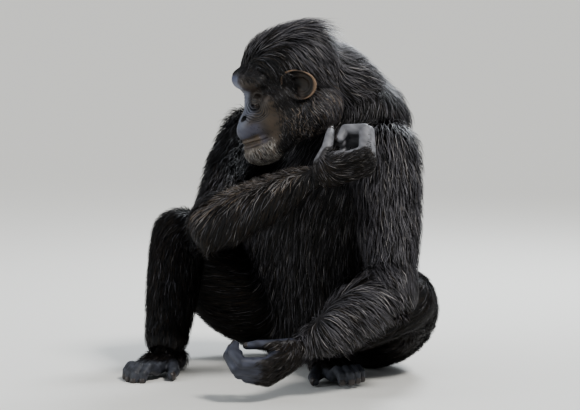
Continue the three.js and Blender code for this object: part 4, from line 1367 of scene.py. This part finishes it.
def skin_material():
    material = principled("skin", 0.5, Specular_IOR_Level=0.45)
    nodes, links = material.node_tree.nodes, material.node_tree.links
    place = nodes.new("ShaderNodeTexCoord")
    creases = nodes.new("ShaderNodeTexVoronoi")
    creases.feature = "DISTANCE_TO_EDGE"
    creases.inputs["Scale"].default_value = 420
    pores = nodes.new("ShaderNodeTexNoise")
    pores.inputs["Scale"].default_value = 900
    both = nodes.new("ShaderNodeMath")
    both.operation = "ADD"
    bump = nodes.new("ShaderNodeBump")
    bump.inputs["Strength"].default_value = 0.28
    bump.inputs["Distance"].default_value = 0.0008
    links.new(place.outputs["Object"], creases.inputs["Vector"])
    links.new(place.outputs["Object"], pores.inputs["Vector"])
    links.new(creases.outputs["Distance"], both.inputs[0])
    links.new(pores.outputs["Fac"], both.inputs[1])
    links.new(both.outputs["Value"], bump.inputs["Height"])
    links.new(bump.outputs["Normal"], nodes["Principled BSDF"].inputs["Normal"])
    return material


def dress_skin():
    set_tint(skin.data, skin_colours())
    dress(skin.data, skin_material())
    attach(skin, "root")
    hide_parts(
        "head", "neck", "torso", "ear_left", "ear_right", "hand_left", "hand_right",
        "upper_arm_left", "upper_arm_right", "forearm_left", "forearm_right",
        "thigh_left", "thigh_right", "shin_left", "shin_right", "foot_left", "foot_right",
    )


def dress_coat():
    vertices, colours, unwrap, region = make_coat(skin.data)
    material = principled("coat_hair", 0.46, Specular_IOR_Level=0.32)
    order = np.argsort(region, kind="stable")
    groups = {
        "back": ("torso", "neck"),
        "arm_left": ("upper_arm_left", "forearm_left", "hand_left"),
        "arm_right": ("upper_arm_right", "forearm_right", "hand_right"),
        "leg_left": ("thigh_left", "shin_left", "foot_left"),
        "leg_right": ("thigh_right", "shin_right", "foot_right"),
        "head": ("head",),
    }
    for name, regions in groups.items():
        wanted = [REGIONS.index(r) for r in regions]
        chosen = order[np.isin(region[order], wanted)]
        for start in range(0, len(chosen), PIECE_TUFTS):
            part = chosen[start:start + PIECE_TUFTS]
            piece = build_tufts(f"coat_{name}_{start // PIECE_TUFTS + 1}", material,
                                vertices[part], colours[part], unwrap[part])
            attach(piece, "root")


def make_eye(name, way):
    """An eyeball with iris and pupil, looking ahead and down between the lids."""
    centre = on_head(EYE_AT * vec(1, way, 1))
    gaze = GAZE @ HEAD_AXES
    up = GAZE_UP @ HEAD_AXES
    side = np.cross(gaze, up)
    vertices, faces = ball(centre, (side, up, gaze), (EYE_RADIUS - 0.25,) * 3, 48, 32)
    front = (vertices - centre) @ gaze
    vertices = vertices + gaze * (0.9 * smooth(0.80, 0.97, front / EYE_RADIUS))[:, None]
    piece = new_object(name, vertices * MM, faces)
    angle = np.arccos(np.clip(unit(vertices - centre) @ gaze, -1, 1))[:, None]
    colour = mix(EYE_WHITE, EYE_IRIS, smooth(0.62, 0.56, angle))
    colour = mix(colour, EYE_RIM, smooth(0.48, 0.56, angle) * smooth(0.66, 0.58, angle) * 0.8)
    colour = mix(colour, EYE_PUPIL, smooth(0.26, 0.20, angle))
    set_tint(piece.data, colour)
    dress(piece.data, principled(name, 0.06, Coat_Weight=1.0, Coat_Roughness=0.02))
    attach(piece, "root")
    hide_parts(name)


def plate_faces(rows, columns):
    """Faces of a plate whose top and underside are equal grids, one after the other."""
    total = rows * columns
    faces = []
    for i in range(rows - 1):
        for k in range(columns - 1):
            a = i * columns + k
            faces.append((a, a + 1, a + columns + 1, a + columns))
            faces.append((total + a, total + a + columns, total + a + columns + 1, total + a + 1))
    edge = list(range(columns)) + [i * columns + columns - 1 for i in range(1, rows)]
    edge += [(rows - 1) * columns + k for k in range(columns - 2, -1, -1)]
    edge += [i * columns for i in range(rows - 2, 0, -1)]
    return faces + [(b, a, total + a, total + b) for a, b in zip(edge, edge[1:] + edge[:1])]


def make_nails():
    """A curved plate on the last bone of each digit."""
    along = np.linspace(-0.35, 1.02, NAIL_ROWS)[:, None, None]
    turn = np.radians(np.linspace(-58, 58, NAIL_COLUMNS))[None, :, None]
    shorter = 1 - 0.22 * turn**2 * (along > 0.5)
    bulge = np.full((NAIL_ROWS, 1, 1), 1.04)
    bulge[-1] = 1.0
    faces = plate_faces(NAIL_ROWS, NAIL_COLUMNS)
    parts = []
    for end in ENDS.values():
        for joints, radii in end.digits:
            way = unit(joints[-1] - joints[-2])
            before = unit(joints[-2] - joints[-3])
            outward = before - way * before.dot(way)
            if norm(outward) < 0.15:
                outward = -end.palm - way * (-end.palm).dot(way)
            outward = unit(outward)
            side = np.cross(way, outward)
            radius = radii[-1] * 0.93
            base = joints[-1] + way * along * radius * shorter
            base = base - outward * radius * 0.42 * np.maximum(along, 0) ** 2
            direction = outward * np.cos(turn) + side * np.sin(turn)
            top = base + direction * radius * bulge
            under = top - direction * NAIL_THICK
            vertices = np.concatenate([top.reshape(-1, 3), under.reshape(-1, 3)])
            vertices[:, 2] = np.maximum(vertices[:, 2], NAILS_ABOVE_FLOOR)
            parts.append((vertices, faces))
    vertices, faces = join_meshes(parts)
    piece = new_object("nails", vertices * MM, faces)
    dress(piece.data, principled("nail", 0.35, (0.045, 0.038, 0.036)))
    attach(piece, "root")


dress_skin()
dress_coat()
make_eye("eye_left", 1)
make_eye("eye_right", -1)
make_nails()


def make_floor():
    size = 300.0
    piece = new_object("floor", [(-size, -size, 0), (size, -size, 0), (size, size, 0), (-size, size, 0)],
                       [(0, 1, 2, 3)])
    piece.data.materials.append(principled("floor", 0.85, (0.74, 0.73, 0.70)))


def area_light(name, place, target, size, power, colour):
    data = bpy.data.lights.new(name, "AREA")
    data.shape = "DISK"
    data.size = size
    data.energy = power
    data.color = colour
    light = bpy.data.objects.new(name, data)
    light.location = place
    light.rotation_euler = (Vector(target) - Vector(place)).to_track_quat("-Z", "Y").to_euler()
    bpy.context.scene.collection.objects.link(light)


# Colour of the light from the sky.
SKY = (0.90, 0.95, 1.0)


def make_light():
    middle = (0.08, -0.2, 0.35)
    data = bpy.data.lights.new("key", "SUN")
    data.energy = 2.3
    data.angle = math.radians(14)
    data.color = (1.0, 0.98, 0.94)
    key = bpy.data.objects.new("key", data)
    key.rotation_euler = Vector((-0.62, 0.20, -0.76)).to_track_quat("-Z", "Y").to_euler()
    bpy.context.scene.collection.objects.link(key)
    area_light("fill", (-1.6, -2.6, 1.2), middle, 2.0, 26, SKY)
    area_light("rim", (-0.1, 1.9, 2.3), middle, 1.0, 60, SKY)
    world = bpy.data.worlds.new("world")
    bpy.context.scene.world = world
    world.use_nodes = True
    world.node_tree.nodes["Background"].inputs["Color"].default_value = (*SKY, 1)
    world.node_tree.nodes["Background"].inputs["Strength"].default_value = 0.42
    bpy.context.scene.view_settings.look = "AgX - Medium High Contrast"


make_floor()
make_light()
